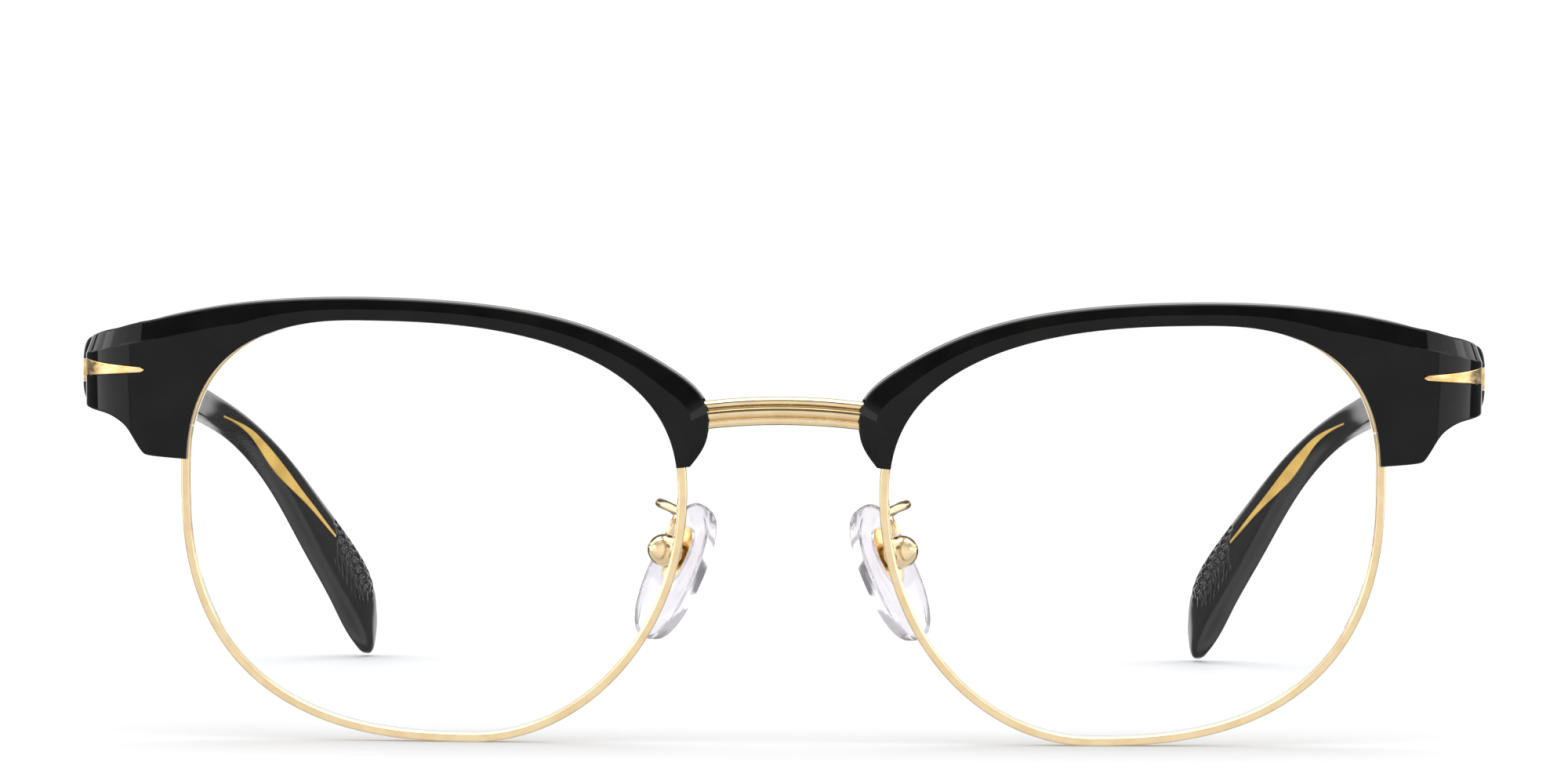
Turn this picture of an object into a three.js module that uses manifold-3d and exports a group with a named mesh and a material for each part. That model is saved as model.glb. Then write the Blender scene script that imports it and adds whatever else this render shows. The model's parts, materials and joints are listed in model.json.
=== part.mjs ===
// Browline eyeglasses: black acetate brows over gold metal rims, with folding acetate temples.
// Millimetres, +Z up. The front faces -Y and the wearer's left is +X. The glasses stand on the
// bottoms of both rims and on both temple tips, with the temples open.
import * as THREE from "three";
import { mergeVertices } from "three/addons/utils/BufferGeometryUtils.js";
import Module from "manifold-3d";

const wasm = await Module();
wasm.setup();

// ---------------------------------------------------------------- driving dimensions
const DEG = Math.PI / 180;
const LEAN = 3.6 * DEG; // the standing front leans top forward

// Lens outline, around the lens centre: u runs to the temple, w runs up. Each quarter is a
// superellipse about its own centre, so the outline is tall and full on the outer top.
const LENS_X = 35.9; // lens centre to the symmetry plane
const OUTLINE = { temple: 24.8, nose: -25.15, top: 20.95, bottom: -21.25 };
const TOP_APEX_U = 7.0;
const BOTTOM_APEX_U = -4.3;
const TEMPLE_APEX_W = 5.1;
const NOSE_APEX_W = 3.2;
const QUARTER_POWER = { topTemple: 2.48, topNose: 2.49, bottomNose: 1.97, bottomTemple: 2.58 };
const LENS_RADIUS = 130; // front curve of the lens
const WRAP = Math.tan(4 * DEG); // each lens turns back towards the temple
const LENS_THICKNESS = 1.8;
const LENS_FIT = 0.06; // play between lens and rim
const BEVEL = 0.42; // height of the lens bevel
const BEVEL_HALF_WIDTH = 0.55;

const RIM_HEIGHT = 0.95; // radial, from the lens side to the outer side
const RIM_DEPTH = 2.2; // front to back
const RIM_GROOVE = 0.46; // depth of the lens groove
const RIM_LIP = 0.35; // face of the rim's inner edge on each side of the groove
const RIM_STATIONS = 42;
const LENS_Z = RIM_HEIGHT - OUTLINE.bottom; // lens centre above the lowest rim point
const RIM_CHAMFER = { radial: 0.2, depth: 0.25 };
const SPLIT_ANGLE = 13 * DEG; // where the rim is split for the closing block
const SPLIT_HALF_GAP = 0.3 * DEG;

// Closing block, in the frame at the rim split: x outwards, y back, z up the rim.
const BLOCK = { x: [0.08, 2.2], y: [-1.0, 1.05], z: [0.12, 2.3] };
const BLOCK_POCKET = { x: [0.04, 2.5], y: [-1.3, 6], z: [-3.2, 2.6] };
const CLOSING_SCREW = { x: 1.15, y: 0.1, shaft: 0.52, head: 0.9, headHeight: 0.5, length: 4.2, hole: 0.66 };

// Brow: a plate that follows the rim, then turns back to the hinge.
const BROW_THICKNESS = 4.2;
const BROW_END_THICKNESS = 3.8;
const BROW_LIP = 1.2; // brow front to rim front
const GROOVE_PLAY = 0.1;
const BEND_START = 29.6; // u where the plate starts to turn back
const BEND_RADIUS = 9.6;
const BEND_END_ANGLE = 86 * DEG;
const FACET_WIDTH = 2.0; // bevelled band along the top of the front
const FACET_SLOPE = 0.34;
const EDGE_ROUND = 0.3; // rounding of the brow's lens-side edge
const LENS_EDGE_SETBACK = 0.32; // the rim shows this much beside the brow's temple end
const TURN_RANGE = [26, 32]; // u over which the plate's thickness turns with its bend
const THINNING_RANGE = [30, 42]; // u over which the plate thins to its end
const GROOVE_ANGLES = [-14 * DEG, 194 * DEG];
const GROOVE_REACH = -1.2; // the groove's tool reaches this far inside the outline

// Ribs of the brow on the rim, from the nose end: outline angle, then the top edge's u and w.
const RIM_RIBS = [
  [173.6, -26.4, 6.35], [169, -27.9, 8.6], [165, -28.3, 10.6], [161, -28.1, 12.4],
  [157, -27.0, 14.1], [150, -24.4, 16.15], [141, -21.2, 18.05], [130, -16.8, 20.05],
  [118, -11.2, 21.65], [105, -4.0, 22.7], [91, 4.8, 23.15], [78, 12.4, 23.05],
  [60, 18.2, 22.6], [42, 23.0, 21.9], [22, 26.4, 21.2], [2.8, 28.9, 20.65],
];
// Ribs past the rim: the lower edge's u and w, then the top edge's u and w, along the plate.
const END_RIBS = [
  [27.4, 6.62, 29.7, 20.5], [29.3, 6.8, 30.4, 20.4], [29.8, 7.05, 30.8, 20.3],
  [30.4, 7.8, 31.3, 20.2], [31.4, 9.2, 32.2, 20.0], [32.7, 10.2, 33.5, 19.7],
  [34.5, 10.8, 35.3, 19.4], [36.5, 11.0, 37.0, 19.1], [38.5, 11.1, 38.8, 18.8],
  [40.3, 11.15, 40.5, 18.6], [41.7, 11.2, 41.8, 18.5], [44.5, 11.2, 44.5, 18.3],
];
const END_RIM_W = 6.5; // height of the rim where the brow leaves it

// Hinge: a vertical screw through five knuckles, three on the front and two on the temple.
const HINGE = new THREE.Vector3(67.2, 11.6, 37.7);
const KNUCKLE_RADIUS = 1.3;
const KNUCKLE_PITCH = 1.15;
const KNUCKLE_HEIGHT = 1.05;
const KNUCKLES = 5;
const SCREW_RADIUS = 0.62;
const SCREW_HOLE_RADIUS = 0.75;
const BUTT_GAP = 0.15; // brow and temple ends each stop this far from the hinge line
const KNUCKLE_ARM = 2.3; // from the hinge line into the leaf
const LEAF_X = [68.2, 69.0];
const LEAF_Y = [1.7, 11.5]; // from the hinge line
const LEAF_Z = [-2.6, 2.0]; // from the hinge's middle
const LEAF_MIDDLE = -0.3;
const FRONT_LEAF_REACH = 1.25; // how far the front's knuckles reach outwards
const HINGE_SCREW = { head: 1.1, headHeight: 0.55, length: 5.9 };
const RIVET_Y = [5.0, 9.2];
const RIVET_RADIUS = 0.6;
const RIVET_FIT = 0.1;
const RIVET_X = [68.0, 70.8];
const RIVET_HEAD = { radius: 1.0, x: [67.75, 68.12] };

// Temple: centre line x, y, z, then height and thickness, from the hinge to the tip.
const TEMPLE_STATIONS = [
  [71.05, 11.75, 37.7, 7.2, 3.7], [70.8, 26, 37.3, 6.6, 3.6], [69.9, 45, 36.5, 5.7, 3.35],
  [69.0, 66, 34.7, 4.5, 2.9], [67.15, 90, 32.1, 3.6, 2.6], [64.3, 101.5, 29.2, 3.6, 2.5],
  [61.1, 111.5, 24.6, 4.5, 2.5], [57.3, 125.5, 16.7, 6.9, 2.6], [54.2, 137.5, 9.8, 8.5, 2.7],
  [52.5, 144.5, 4.4, 7.3, 2.6], [52.2, 148.0, 1.37, 3.5, 2.1],
];
const TEMPLE_SECTION_POWER = 3.4;
// The core's showing strip: temple station, height of its middle over the centre line, half width.
const CORE_STRIP = [
  [4.2, -0.45, 0.12], [4.6, -0.2, 0.18], [5.0, -0.05, 0.42], [5.4, -0.35, 0.76], [5.9, -0.6, 0.92],
  [6.3, -0.3, 0.64], [6.75, 0.45, 0.36], [7.3, 1.15, 0.18],
];
const CORE_DEPTH = 0.7;
const INLAY_DEPTH = 0.35;
const INLAY_FIT = 0.08;
const INLAY_HALF = [0.24, 1.14]; // half height at the point and at the hinge
const TEMPLE_INLAY_LENGTH = 16;
const BROW_INLAY_START = 29.6;
const BROW_INLAY_END = { inlay: 43.2, wide: 43.5, pocket: 44.5 };
const BROW_INLAY_W = { point: 15.55, wide: 15.25 }; // its middle line

// Screws that hold the brow from behind: place, and height of the rim there.
const BROW_SCREW = { shaft: 0.5, head: 1.0, headHeight: 0.5, hole: 0.62 };
const OUTER_SCREW = { u: 31.4, w: 14.4, rimW: END_RIM_W, length: 3.2, lift: -1.3 };
const INNER_SCREW = { u: -25.9, w: 13.6, rimW: 12.5, length: 2.0, lift: -0.08 };

// End piece: a metal bar behind the brow, from the rim split round the bend to the hinge.
const END_PIECE = { u: [26.1, 41.1], w: [11.4, 14.75], half: [1.25, 2.7], gap: 0.15, thickness: 1 };
const END_PIECE_FOOT = { x: [0.3, 2.2], y: [1.12, 2.3], z: [0.2, 2.3] };

const BRIDGE_REACH = 11.6; // bridge end to the symmetry plane
const BRIDGE_SLOT = { x: [0, LENS_X - 24.1], y: [-0.12, 2.55], z: [LENS_Z + 9.3, LENS_Z + 13.2] };
const SOLDER_GAP = 0.06;
const BRIDGE_W = { middle: 12.0, end: 10.9 };
const BRIDGE_Y = { middle: 0.5, end: 1.5 };
// Section of the bridge, y and z: three stepped ridges in front, flat behind.
const BRIDGE_SECTION = [
  [0.9, -1.42], [0.9, 1.42], [-0.1, 1.42], [-0.5, 1.2], [-0.55, 0.8], [-0.3, 0.5],
  [-0.75, 0.38], [-0.95, 0.0], [-0.72, -0.38], [-0.45, -0.48], [-0.8, -0.62],
  [-0.9, -0.95], [-0.65, -1.3], [-0.3, -1.42],
];

// Nose pad, in its own frame: x to its front edge, y up, z to the nose. The origin is on the
// axis of the box that holds the pad.
const PAD_ORIGIN = { u: -24.65, y: 7.2, w: -3.35 };
const PAD_FRONTAL = 24 * DEG;
const PAD_SPLAY = 37.5 * DEG;
const PAD_HALF = { length: 7.5, width: 3.85 };
const PAD_DROP = 1.75; // from the origin down to the pad's middle
const PAD_THICKNESS = 2.3;
const PAD_BACK = 0.3;
const PAD_PIVOT_Z = -1.1;
const BOX_RADIUS = 1.7;
const BOX_BACK = -3.2;
const PAD_POCKET = { width: 1.7, length: 3.2, top: 0.7 }; // oval hollow in the pad's back
const INSERT = { width: 1.55, length: 3.05, z: [0.1, 0.55] }; // oval plate in that hollow
const LUG = { half: 0.45, length: 0.8 }; // the insert's tongue in the box
const BOX_SLOT = { x: [-0.6, 0.6], y: [-1.15, 1.15], z: [-2.15, 1] };
const PAD_SCREW = { shaft: 0.4, head: 0.75, headHeight: 0.4, length: 3.3, start: 1.72 };
const ARM_RADIUS = 0.48;
// Pad arm's centre line, u, y, w: from the rim's back, out behind the lens and round to the box.
const ARM_PATH = [
  [-25.6, 2.4, 1.25], [-24.8, 3.6, 1.55], [-23.6, 5.2, 1.9], [-23.15, 6.6, 1.95], [-23.5, 7.7, 1.75],
  [-24.3, 7.9, 1.3], [-24.95, 7.2, 0.7], [-24.75, 6.45, 0], [-24.2, 6.23, -1.18],
];

// ---------------------------------------------------------------- solids
const vec = (x, y, z) => new THREE.Vector3(x, y, z);
const { lerp, smoothstep } = THREE.MathUtils;
const range = (count, from, to) =>
  Array.from({ length: count }, (_, i) => lerp(from, to, count > 1 ? i / (count - 1) : 0));

// Turns every face outwards.
function facingOut(geometry) {
  const p = geometry.attributes.position;
  const index = geometry.index.array;
  const corner = (i) => vec(p.getX(index[i]), p.getY(index[i]), p.getZ(index[i]));
  let volume = 0;
  for (let i = 0; i < index.length; i += 3) volume += corner(i).dot(corner(i + 1).cross(corner(i + 2)));
  if (volume < 0) for (let i = 0; i < index.length; i += 3) [index[i], index[i + 1]] = [index[i + 1], index[i]];
  return geometry;
}

// Skin over rings that hold the same number of points, with both ends capped.
function loft(rings) {
  const sides = rings[0].length;
  const points = rings.flat();
  const index = [];
  for (let i = 0; i < rings.length - 1; i++) {
    const here = i * sides;
    const next = here + sides;
    for (let j = 0; j < sides; j++) {
      const k = (j + 1) % sides;
      index.push(here + j, next + j, next + k, here + j, next + k, here + k);
    }
  }
  for (const ring of [0, rings.length - 1]) {
    const middle = rings[ring].reduce((sum, p) => sum.add(p), vec(0, 0, 0)).divideScalar(sides);
    const start = ring * sides;
    for (let j = 0; j < sides; j++) {
      const k = (j + 1) % sides;
      index.push(points.length, start + (ring ? k : j), start + (ring ? j : k));
    }
    points.push(middle);
  }
  const geometry = new THREE.BufferGeometry().setFromPoints(points);
  geometry.setIndex(index);
  return facingOut(geometry);
}

function toSolid(geometry) {
  const bare = geometry.clone();
  for (const name of Object.keys(bare.attributes)) if (name !== "position") bare.deleteAttribute(name);
  const merged = mergeVertices(bare, 1e-4);
  return new wasm.Manifold(
    new wasm.Mesh({
      numProp: 3,
      vertProperties: new Float32Array(merged.attributes.position.array),
      triVerts: new Uint32Array(merged.index.array),
    }),
  );
}

function toGeometry(solid) {
  const mesh = solid.getMesh();
  const geometry = new THREE.BufferGeometry();
  geometry.setAttribute("position", new THREE.BufferAttribute(mesh.vertProperties, 3));
  geometry.setIndex(new THREE.BufferAttribute(mesh.triVerts, 1));
  return geometry;
}

const subtract = (body, ...tools) =>
  toGeometry(tools.reduce((left, tool) => left.subtract(toSolid(tool)), toSolid(body)));
const unite = (body, ...more) =>
  toGeometry(more.reduce((all, one) => all.add(toSolid(one)), toSolid(body)));

const box = (x, y, z) =>
  new THREE.BoxGeometry(x[1] - x[0], y[1] - y[0], z[1] - z[0]).translate(
    (x[0] + x[1]) / 2, (y[0] + y[1]) / 2, (z[0] + z[1]) / 2);

// Rod along Z between two heights, around x, y.
const rod = (radius, from, to, x = 0, y = 0, sides = 12) =>
  new THREE.CylinderGeometry(radius, radius, to - from, sides)
    .rotateX(90 * DEG).translate(x, y, (from + to) / 2);

// Screw along Z: a low domed head above z = 0, and a shaft down to -length.
const screw = (shaft, head, headHeight, length, sides = 10) =>
  new THREE.LatheGeometry(
    [[0, -length], [shaft, -length], [shaft, 0], [head, 0], [head, headHeight * 0.35],
      [head * 0.7, headHeight * 0.9], [0, headHeight]].map(([r, z]) => new THREE.Vector2(r, z)),
    sides,
  ).rotateX(90 * DEG);

const paint = (color, roughness, metalness) =>
  new THREE.MeshStandardMaterial({ color, roughness, metalness });
const GOLD = () => paint(0xe6cb9a, 0.22, 1);
const DEEP_GOLD = () => paint(0xd9a941, 0.3, 1);
const ACETATE = () => paint(0x161616, 0.18, 0);
const CLEAR = () => new THREE.MeshStandardMaterial({
  color: 0xf4f7f8, roughness: 0.05, metalness: 0, transparent: true, opacity: 0.25 });

function part(name, geometry, material) {
  const mesh = new THREE.Mesh(geometry, material);
  mesh.name = name;
  return mesh;
}

// ---------------------------------------------------------------- lens and rim
// A point of the lens outline, moved outwards by offset, with its outward direction.
function outline(angle, offset = 0) {
  const toTemple = Math.cos(angle) >= 0;
  const up = Math.sin(angle) >= 0;
  const power = QUARTER_POWER[(up ? "top" : "bottom") + (toTemple ? "Temple" : "Nose")];
  const u0 = up ? TOP_APEX_U : BOTTOM_APEX_U;
  const w0 = toTemple ? TEMPLE_APEX_W : NOSE_APEX_W;
  const a = (toTemple ? OUTLINE.temple : OUTLINE.nose) - u0;
  const b = (up ? OUTLINE.top : OUTLINE.bottom) - w0;
  const cu = Math.abs(Math.cos(angle)) ** (2 / power);
  const cw = Math.abs(Math.sin(angle)) ** (2 / power);
  const normal = new THREE.Vector2(cu ** (power - 1) / a, cw ** (power - 1) / b).normalize();
  return { u: u0 + a * cu + normal.x * offset, w: w0 + b * cw + normal.y * offset, normal };
}

const sag = (u, w) => (u * u + w * w) / (2 * LENS_RADIUS) + WRAP * u;
const atLens = (u, y, w) => vec(LENS_X + u, y, LENS_Z + w);

// Ring of a section (radial, depth) that stands on the outline at an angle.
function rimRing(angle, section) {
  const foot = outline(angle);
  const depth = sag(foot.u, foot.w);
  return section.map(([r, y]) =>
    atLens(foot.u + foot.normal.x * r, depth + y, foot.w + foot.normal.y * r));
}

function eyewire() {
  const half = RIM_DEPTH / 2;
  const { radial, depth } = RIM_CHAMFER;
  const section = [
    [0, -half], [RIM_HEIGHT - radial, -half], [RIM_HEIGHT, -half + depth], [RIM_HEIGHT, half - depth],
    [RIM_HEIGHT - radial, half], [0, half], [0, half - RIM_LIP], [RIM_GROOVE, 0], [0, -half + RIM_LIP],
  ];
  return loft(range(
    RIM_STATIONS + 1, SPLIT_ANGLE + SPLIT_HALF_GAP, SPLIT_ANGLE + 360 * DEG - SPLIT_HALF_GAP)
    .map((angle) => rimRing(angle, section)));
}

function lens() {
  const half = LENS_THICKNESS / 2;
  const angles = range(RIM_STATIONS + 1, SPLIT_ANGLE, SPLIT_ANGLE + 360 * DEG).slice(0, -1);
  const face = (scale, y) => angles.map((angle) => {
    const edge = outline(angle, -LENS_FIT);
    return atLens(edge.u * scale, sag(edge.u * scale, edge.w * scale) + y, edge.w * scale);
  });
  const side = (r, y) => angles.map((angle) => rimRing(angle, [[r, y]])[0]);
  return loft([
    face(0.5, -half), side(-LENS_FIT, -half), side(-LENS_FIT, -BEVEL_HALF_WIDTH),
    side(BEVEL - LENS_FIT, 0), side(-LENS_FIT, BEVEL_HALF_WIDTH), side(-LENS_FIT, half),
    face(0.5, half),
  ]);
}

// ---------------------------------------------------------------- brow
// Place on the bent plate of the brow: u along the plate, w up, depth from the front face.
// rimW is the height of the rim that the plate follows there.
function onPlate(u, w, depth, rimW = END_RIM_W) {
  const flat = Math.min(u, BEND_START);
  const startAngle = Math.atan(BEND_START / LENS_RADIUS + WRAP);
  const turned = Math.min(startAngle + Math.max(u - BEND_START, 0) / BEND_RADIUS, BEND_END_ANGLE);
  const straight = Math.max(u - BEND_START - (BEND_END_ANGLE - startAngle) * BEND_RADIUS, 0);
  const x = flat + BEND_RADIUS * (Math.sin(turned) - Math.sin(startAngle)) + straight * Math.cos(turned);
  const y = sag(flat, rimW) - RIM_DEPTH / 2 - BROW_LIP
    + BEND_RADIUS * (Math.cos(startAngle) - Math.cos(turned)) + straight * Math.sin(turned);
  const lean = u > BEND_START ? turned : Math.atan(flat / LENS_RADIUS + WRAP);
  const across = lean * smoothstep(u, ...TURN_RANGE);
  return atLens(x - Math.sin(across) * depth, y + Math.cos(across) * depth, w);
}

// How far the brow's lens-side edge stands back from the rim's, so that the rim shows there.
const lipInset = (angle) => LENS_EDGE_SETBACK * smoothstep(Math.cos(angle), 0.3, 0.95);
const browThickness = (u) =>
  lerp(BROW_THICKNESS, BROW_END_THICKNESS, smoothstep(u, ...THINNING_RANGE));

// Section across the brow, along a rib of the given width: place on the rib and depth.
function browSection(width, thickness) {
  const facet = Math.min(FACET_WIDTH, 0.48 * width);
  const drop = facet * FACET_SLOPE;
  const r = EDGE_ROUND;
  return [
    [0, thickness - r], [0, r], [0.3 * r, 0.3 * r], [r, 0], [width - facet, 0], [width - 0.25, drop],
    [width, drop + 0.35], [width, thickness - 0.4], [width - 0.4, thickness], [r, thickness],
    [0.3 * r, thickness - 0.3 * r],
  ];
}

function browRib(bottom, top, rimW) {
  const width = Math.hypot(top.u - bottom.u, top.w - bottom.w);
  return browSection(width, browThickness(bottom.u)).map(([a, depth]) =>
    onPlate(lerp(bottom.u, top.u, a / width), lerp(bottom.w, top.w, a / width), depth, rimW));
}

function browRibs(perStation) {
  const onRim = RIM_RIBS.map(([degrees]) => {
    const foot = outline(degrees * DEG, lipInset(degrees * DEG));
    return vec(foot.u, foot.w, 0);
  });
  const last = RIM_RIBS.length - 1;
  const tops = new THREE.CatmullRomCurve3(
    [...RIM_RIBS.map(([, u, w]) => vec(u, w, 0)), ...END_RIBS.map(([, , u, w]) => vec(u, w, 0))]);
  const feet = new THREE.CatmullRomCurve3(
    [onRim[last], ...END_RIBS.map(([u, w]) => vec(u, w, 0))]);
  const stations = last + END_RIBS.length;
  return range(stations * perStation + 1, 0, stations).map((at) => {
    const topPoint = tops.getPoint(at / stations);
    const top = { u: topPoint.x, w: topPoint.y };
    if (at > last) {
      const foot = feet.getPoint((at - last) / END_RIBS.length);
      return browRib({ u: foot.x, w: foot.y }, top, END_RIM_W);
    }
    const i = Math.min(Math.floor(at), last - 1);
    const angle = lerp(RIM_RIBS[i][0], RIM_RIBS[i + 1][0], at - i) * DEG;
    const foot = outline(angle, lipInset(angle));
    return browRib(foot, top, foot.w);
  });
}

// The space that the upper rim takes in its neighbours.
function rimGroove(play) {
  const half = RIM_DEPTH / 2 + play;
  const top = RIM_HEIGHT + play;
  const section = [[GROOVE_REACH, -half], [top, -half], [top, half], [GROOVE_REACH, half]];
  return loft(range(26, ...GROOVE_ANGLES).map((angle) => rimRing(angle, section)));
}

// Moves a geometry from the outline's own frame at the rim split: x outwards, y back, z up the rim.
function atSplit(geometry) {
  const foot = outline(SPLIT_ANGLE, RIM_HEIGHT);
  const place = atLens(foot.u, sag(foot.u, foot.w), foot.w);
  return geometry.rotateY(-Math.atan2(foot.normal.y, foot.normal.x)).translate(place.x, place.y, place.z);
}

const leaned = new THREE.Matrix4().makeRotationX(LEAN);
const unleaned = leaned.clone().invert();

// Everything behind the upright line on which the brow meets the temple.
const behindButt = () =>
  box([50, 90], [HINGE.y - BUTT_GAP, 60], [0, 80]).applyMatrix4(unleaned);

function brow() {
  const plate = loft(browRibs(1));
  const blockPocket = atSplit(box(BLOCK_POCKET.x, BLOCK_POCKET.y, BLOCK_POCKET.z));
  const screwAccess = atSplit(rod(1.1, -9, -3, CLOSING_SCREW.x, CLOSING_SCREW.y));
  const bridgeSlot = box(BRIDGE_SLOT.x, BRIDGE_SLOT.y, BRIDGE_SLOT.z);
  const holes = [0, 1].map((inner) => browScrewAt(inner, rod(BROW_SCREW.hole, -1, 2.4)));
  return subtract(plate, rimGroove(GROOVE_PLAY), behindButt(), blockPocket, screwAccess, bridgeSlot,
    browInlay(INLAY_FIT), ...holes);
}

// Gold wedge let into the outside of the brow's turned end. Its pocket is the same shape, grown.
function browInlay(grow = 0) {
  const end = grow ? BROW_INLAY_END.pocket : BROW_INLAY_END.inlay;
  const start = BROW_INLAY_START - grow;
  const rings = range(15, 0, 1).map((t) => {
    const u = lerp(start, end, t * t * 0.4 + t * 0.6);
    const point = Math.min((u - start) / 0.4, 1) ** 0.5;
    const share = (u - start) / (BROW_INLAY_END.wide - start);
    const half = lerp(...INLAY_HALF, share) * Math.max(point, 0.35) + grow;
    const middle = lerp(BROW_INLAY_W.point, BROW_INLAY_W.wide, share);
    const front = grow ? -0.5 : 0.02;
    return [[-half, front], [half, front], [half, INLAY_DEPTH + grow], [-half, INLAY_DEPTH + grow]]
      .map(([w, depth]) => onPlate(u, middle + w, depth));
  });
  return loft(rings);
}

const trimmedBrowInlay = () => subtract(browInlay(), behindButt());

// ---------------------------------------------------------------- metal front
function bridge() {
  const bar = loft(range(13, -1, 1).map((t) => {
    const w = lerp(BRIDGE_W.middle, BRIDGE_W.end, t * t);
    const y = lerp(BRIDGE_Y.middle, BRIDGE_Y.end, t * t);
    return BRIDGE_SECTION.map(([dy, dz]) => vec(t * BRIDGE_REACH, y + dy, LENS_Z + w + dz));
  }));
  const leftRim = rimGroove(SOLDER_GAP);
  const rightRim = facingOut(leftRim.clone().scale(-1, 1, 1));
  return subtract(bar, leftRim, rightRim);
}

function closingBlock(upper) {
  const z = upper ? BLOCK.z : BLOCK.z.map((height) => -height).reverse();
  const hole = rod(CLOSING_SCREW.hole, -3, 3, CLOSING_SCREW.x, CLOSING_SCREW.y, 12);
  return subtract(atSplit(box(BLOCK.x, BLOCK.y, z)), atSplit(hole));
}

function closingScrew() {
  const { x, y, shaft, head, headHeight, length } = CLOSING_SCREW;
  return atSplit(screw(shaft, head, headHeight, length)
    .rotateX(180 * DEG).translate(x, y, -BLOCK.z[1] - 0.06));
}

// Moves a geometry along Z to a brow screw's place, with z = 0 on the brow's back and +z into it.
function browScrewAt(inner, geometry) {
  const { u, w, rimW } = inner ? INNER_SCREW : OUTER_SCREW;
  const back = onPlate(u, w, BROW_THICKNESS, rimW);
  const front = onPlate(u, w, 0, rimW);
  const turn = new THREE.Quaternion().setFromUnitVectors(vec(0, 0, 1), front.sub(back).normalize());
  return geometry.applyQuaternion(turn).translate(back.x, back.y, back.z);
}

function browScrew(inner) {
  const { length, lift } = inner ? INNER_SCREW : OUTER_SCREW;
  return browScrewAt(inner, screw(BROW_SCREW.shaft, BROW_SCREW.head, BROW_SCREW.headHeight, length)
    .rotateX(180 * DEG).translate(0, 0, lift));
}

const knuckleSpan = (i) => {
  const low = HINGE.z + (i - KNUCKLES / 2) * KNUCKLE_PITCH + (KNUCKLE_PITCH - KNUCKLE_HEIGHT) / 2;
  return [low, low + KNUCKLE_HEIGHT];
};

// Knuckles with their arms to a leaf. Side is -1 for the front's leaf and +1 for the temple's.
function knuckles(numbers, side, reach) {
  return numbers.flatMap((i) => {
    const [low, high] = knuckleSpan(i);
    const y = [0.45 * side, KNUCKLE_ARM * side].sort((a, b) => a - b);
    return [
      rod(KNUCKLE_RADIUS, low, high, HINGE.x, HINGE.y),
      box([HINGE.x + 0.1, HINGE.x + reach], [HINGE.y + y[0], HINGE.y + y[1]], [low, high]),
    ];
  });
}

const hingeHole = () => rod(SCREW_HOLE_RADIUS, HINGE.z - 6, HINGE.z + 6, HINGE.x, HINGE.y, 12);

function endPiece() {
  const bar = loft(range(15, 0, 1).map((t) => {
    const u = lerp(...END_PIECE.u, t);
    const w = lerp(...END_PIECE.w, smoothstep(t, 0, 0.7));
    const half = lerp(...END_PIECE.half, smoothstep(t, 0.1, 0.9));
    const front = browThickness(u) + END_PIECE.gap;
    const back = front + END_PIECE.thickness;
    return [[-half, front], [half, front], [half, back], [-half, back]]
      .map(([dw, depth]) => onPlate(u, w + dw, depth));
  }));
  const foot = atSplit(box(END_PIECE_FOOT.x, END_PIECE_FOOT.y, END_PIECE_FOOT.z));
  const leaf = knuckles([0, 2, 4], -1, FRONT_LEAF_REACH).map((piece) => piece.applyMatrix4(unleaned));
  return subtract(unite(bar, foot, ...leaf), hingeHole().applyMatrix4(unleaned),
    browScrewAt(0, rod(BROW_SCREW.hole, -2, 1, 0, 0, 12)));
}

// ---------------------------------------------------------------- temple, in the standing frame
const templeLine = new THREE.CatmullRomCurve3(TEMPLE_STATIONS.map(([x, y, z]) => vec(x, y, z)));
const templeSize = new THREE.CatmullRomCurve3(TEMPLE_STATIONS.map(([, , , h, t]) => vec(h, t, 0)));
const lastStation = TEMPLE_STATIONS.length - 1;

// A place in the temple: outwards and up are measured from its centre line at a station.
function inTemple(station) {
  const t = station / lastStation;
  const centre = templeLine.getPoint(t);
  const along = templeLine.getTangent(t);
  const outwards = vec(along.y, -along.x, 0).normalize();
  const up = outwards.clone().cross(along).normalize();
  const { x: height, y: thickness } = templeSize.getPoint(t);
  const at = (out, rise) => centre.clone().addScaledVector(outwards, out).addScaledVector(up, rise);
  return { at, height, thickness };
}

function templeBlank() {
  const sides = 12;
  const stations = [...range(15, 0, 8), 8.5, 9, 9.4, 9.7, 9.9, 10];
  const rings = stations.map((station, i) => {
    const { at, height, thickness } = inTemple(station);
    const ring = range(sides + 1, 0, 2 * Math.PI).slice(0, -1).map((a) => {
      const round = (value) => Math.sign(value) * Math.abs(value) ** (2 / TEMPLE_SECTION_POWER);
      return at(round(Math.cos(a)) * thickness / 2, round(Math.sin(a)) * height / 2);
    });
    // the front end is cut square to the hinge
    return i ? ring : ring.map((p) => p.setY(HINGE.y + BUTT_GAP));
  });
  return loft(rings);
}

// Gold core on the temple's inner face. Its channel is the same shape, grown.
function coreWire(grow = 0) {
  const strip = new THREE.CatmullRomCurve3(CORE_STRIP.map((row) => vec(...row)));
  return loft(range(22, 0, 1).map((t, i, { length }) => {
    const { x: station, y: middle, z: width } = strip.getPoint(t);
    const { at, thickness } = inTemple(station);
    const half = width + grow;
    const face = thickness / 2 + (grow ? 0.5 : -0.03);
    const floor = thickness / 2 - CORE_DEPTH - grow;
    const end = i === 0 ? -grow : i === length - 1 ? grow : 0;
    return [[-face, -half], [-face, half], [-floor, half], [-floor, -half]].map(([out, rise]) =>
      at(out, middle + rise).add(vec(0, end, 0)));
  }));
}

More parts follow.
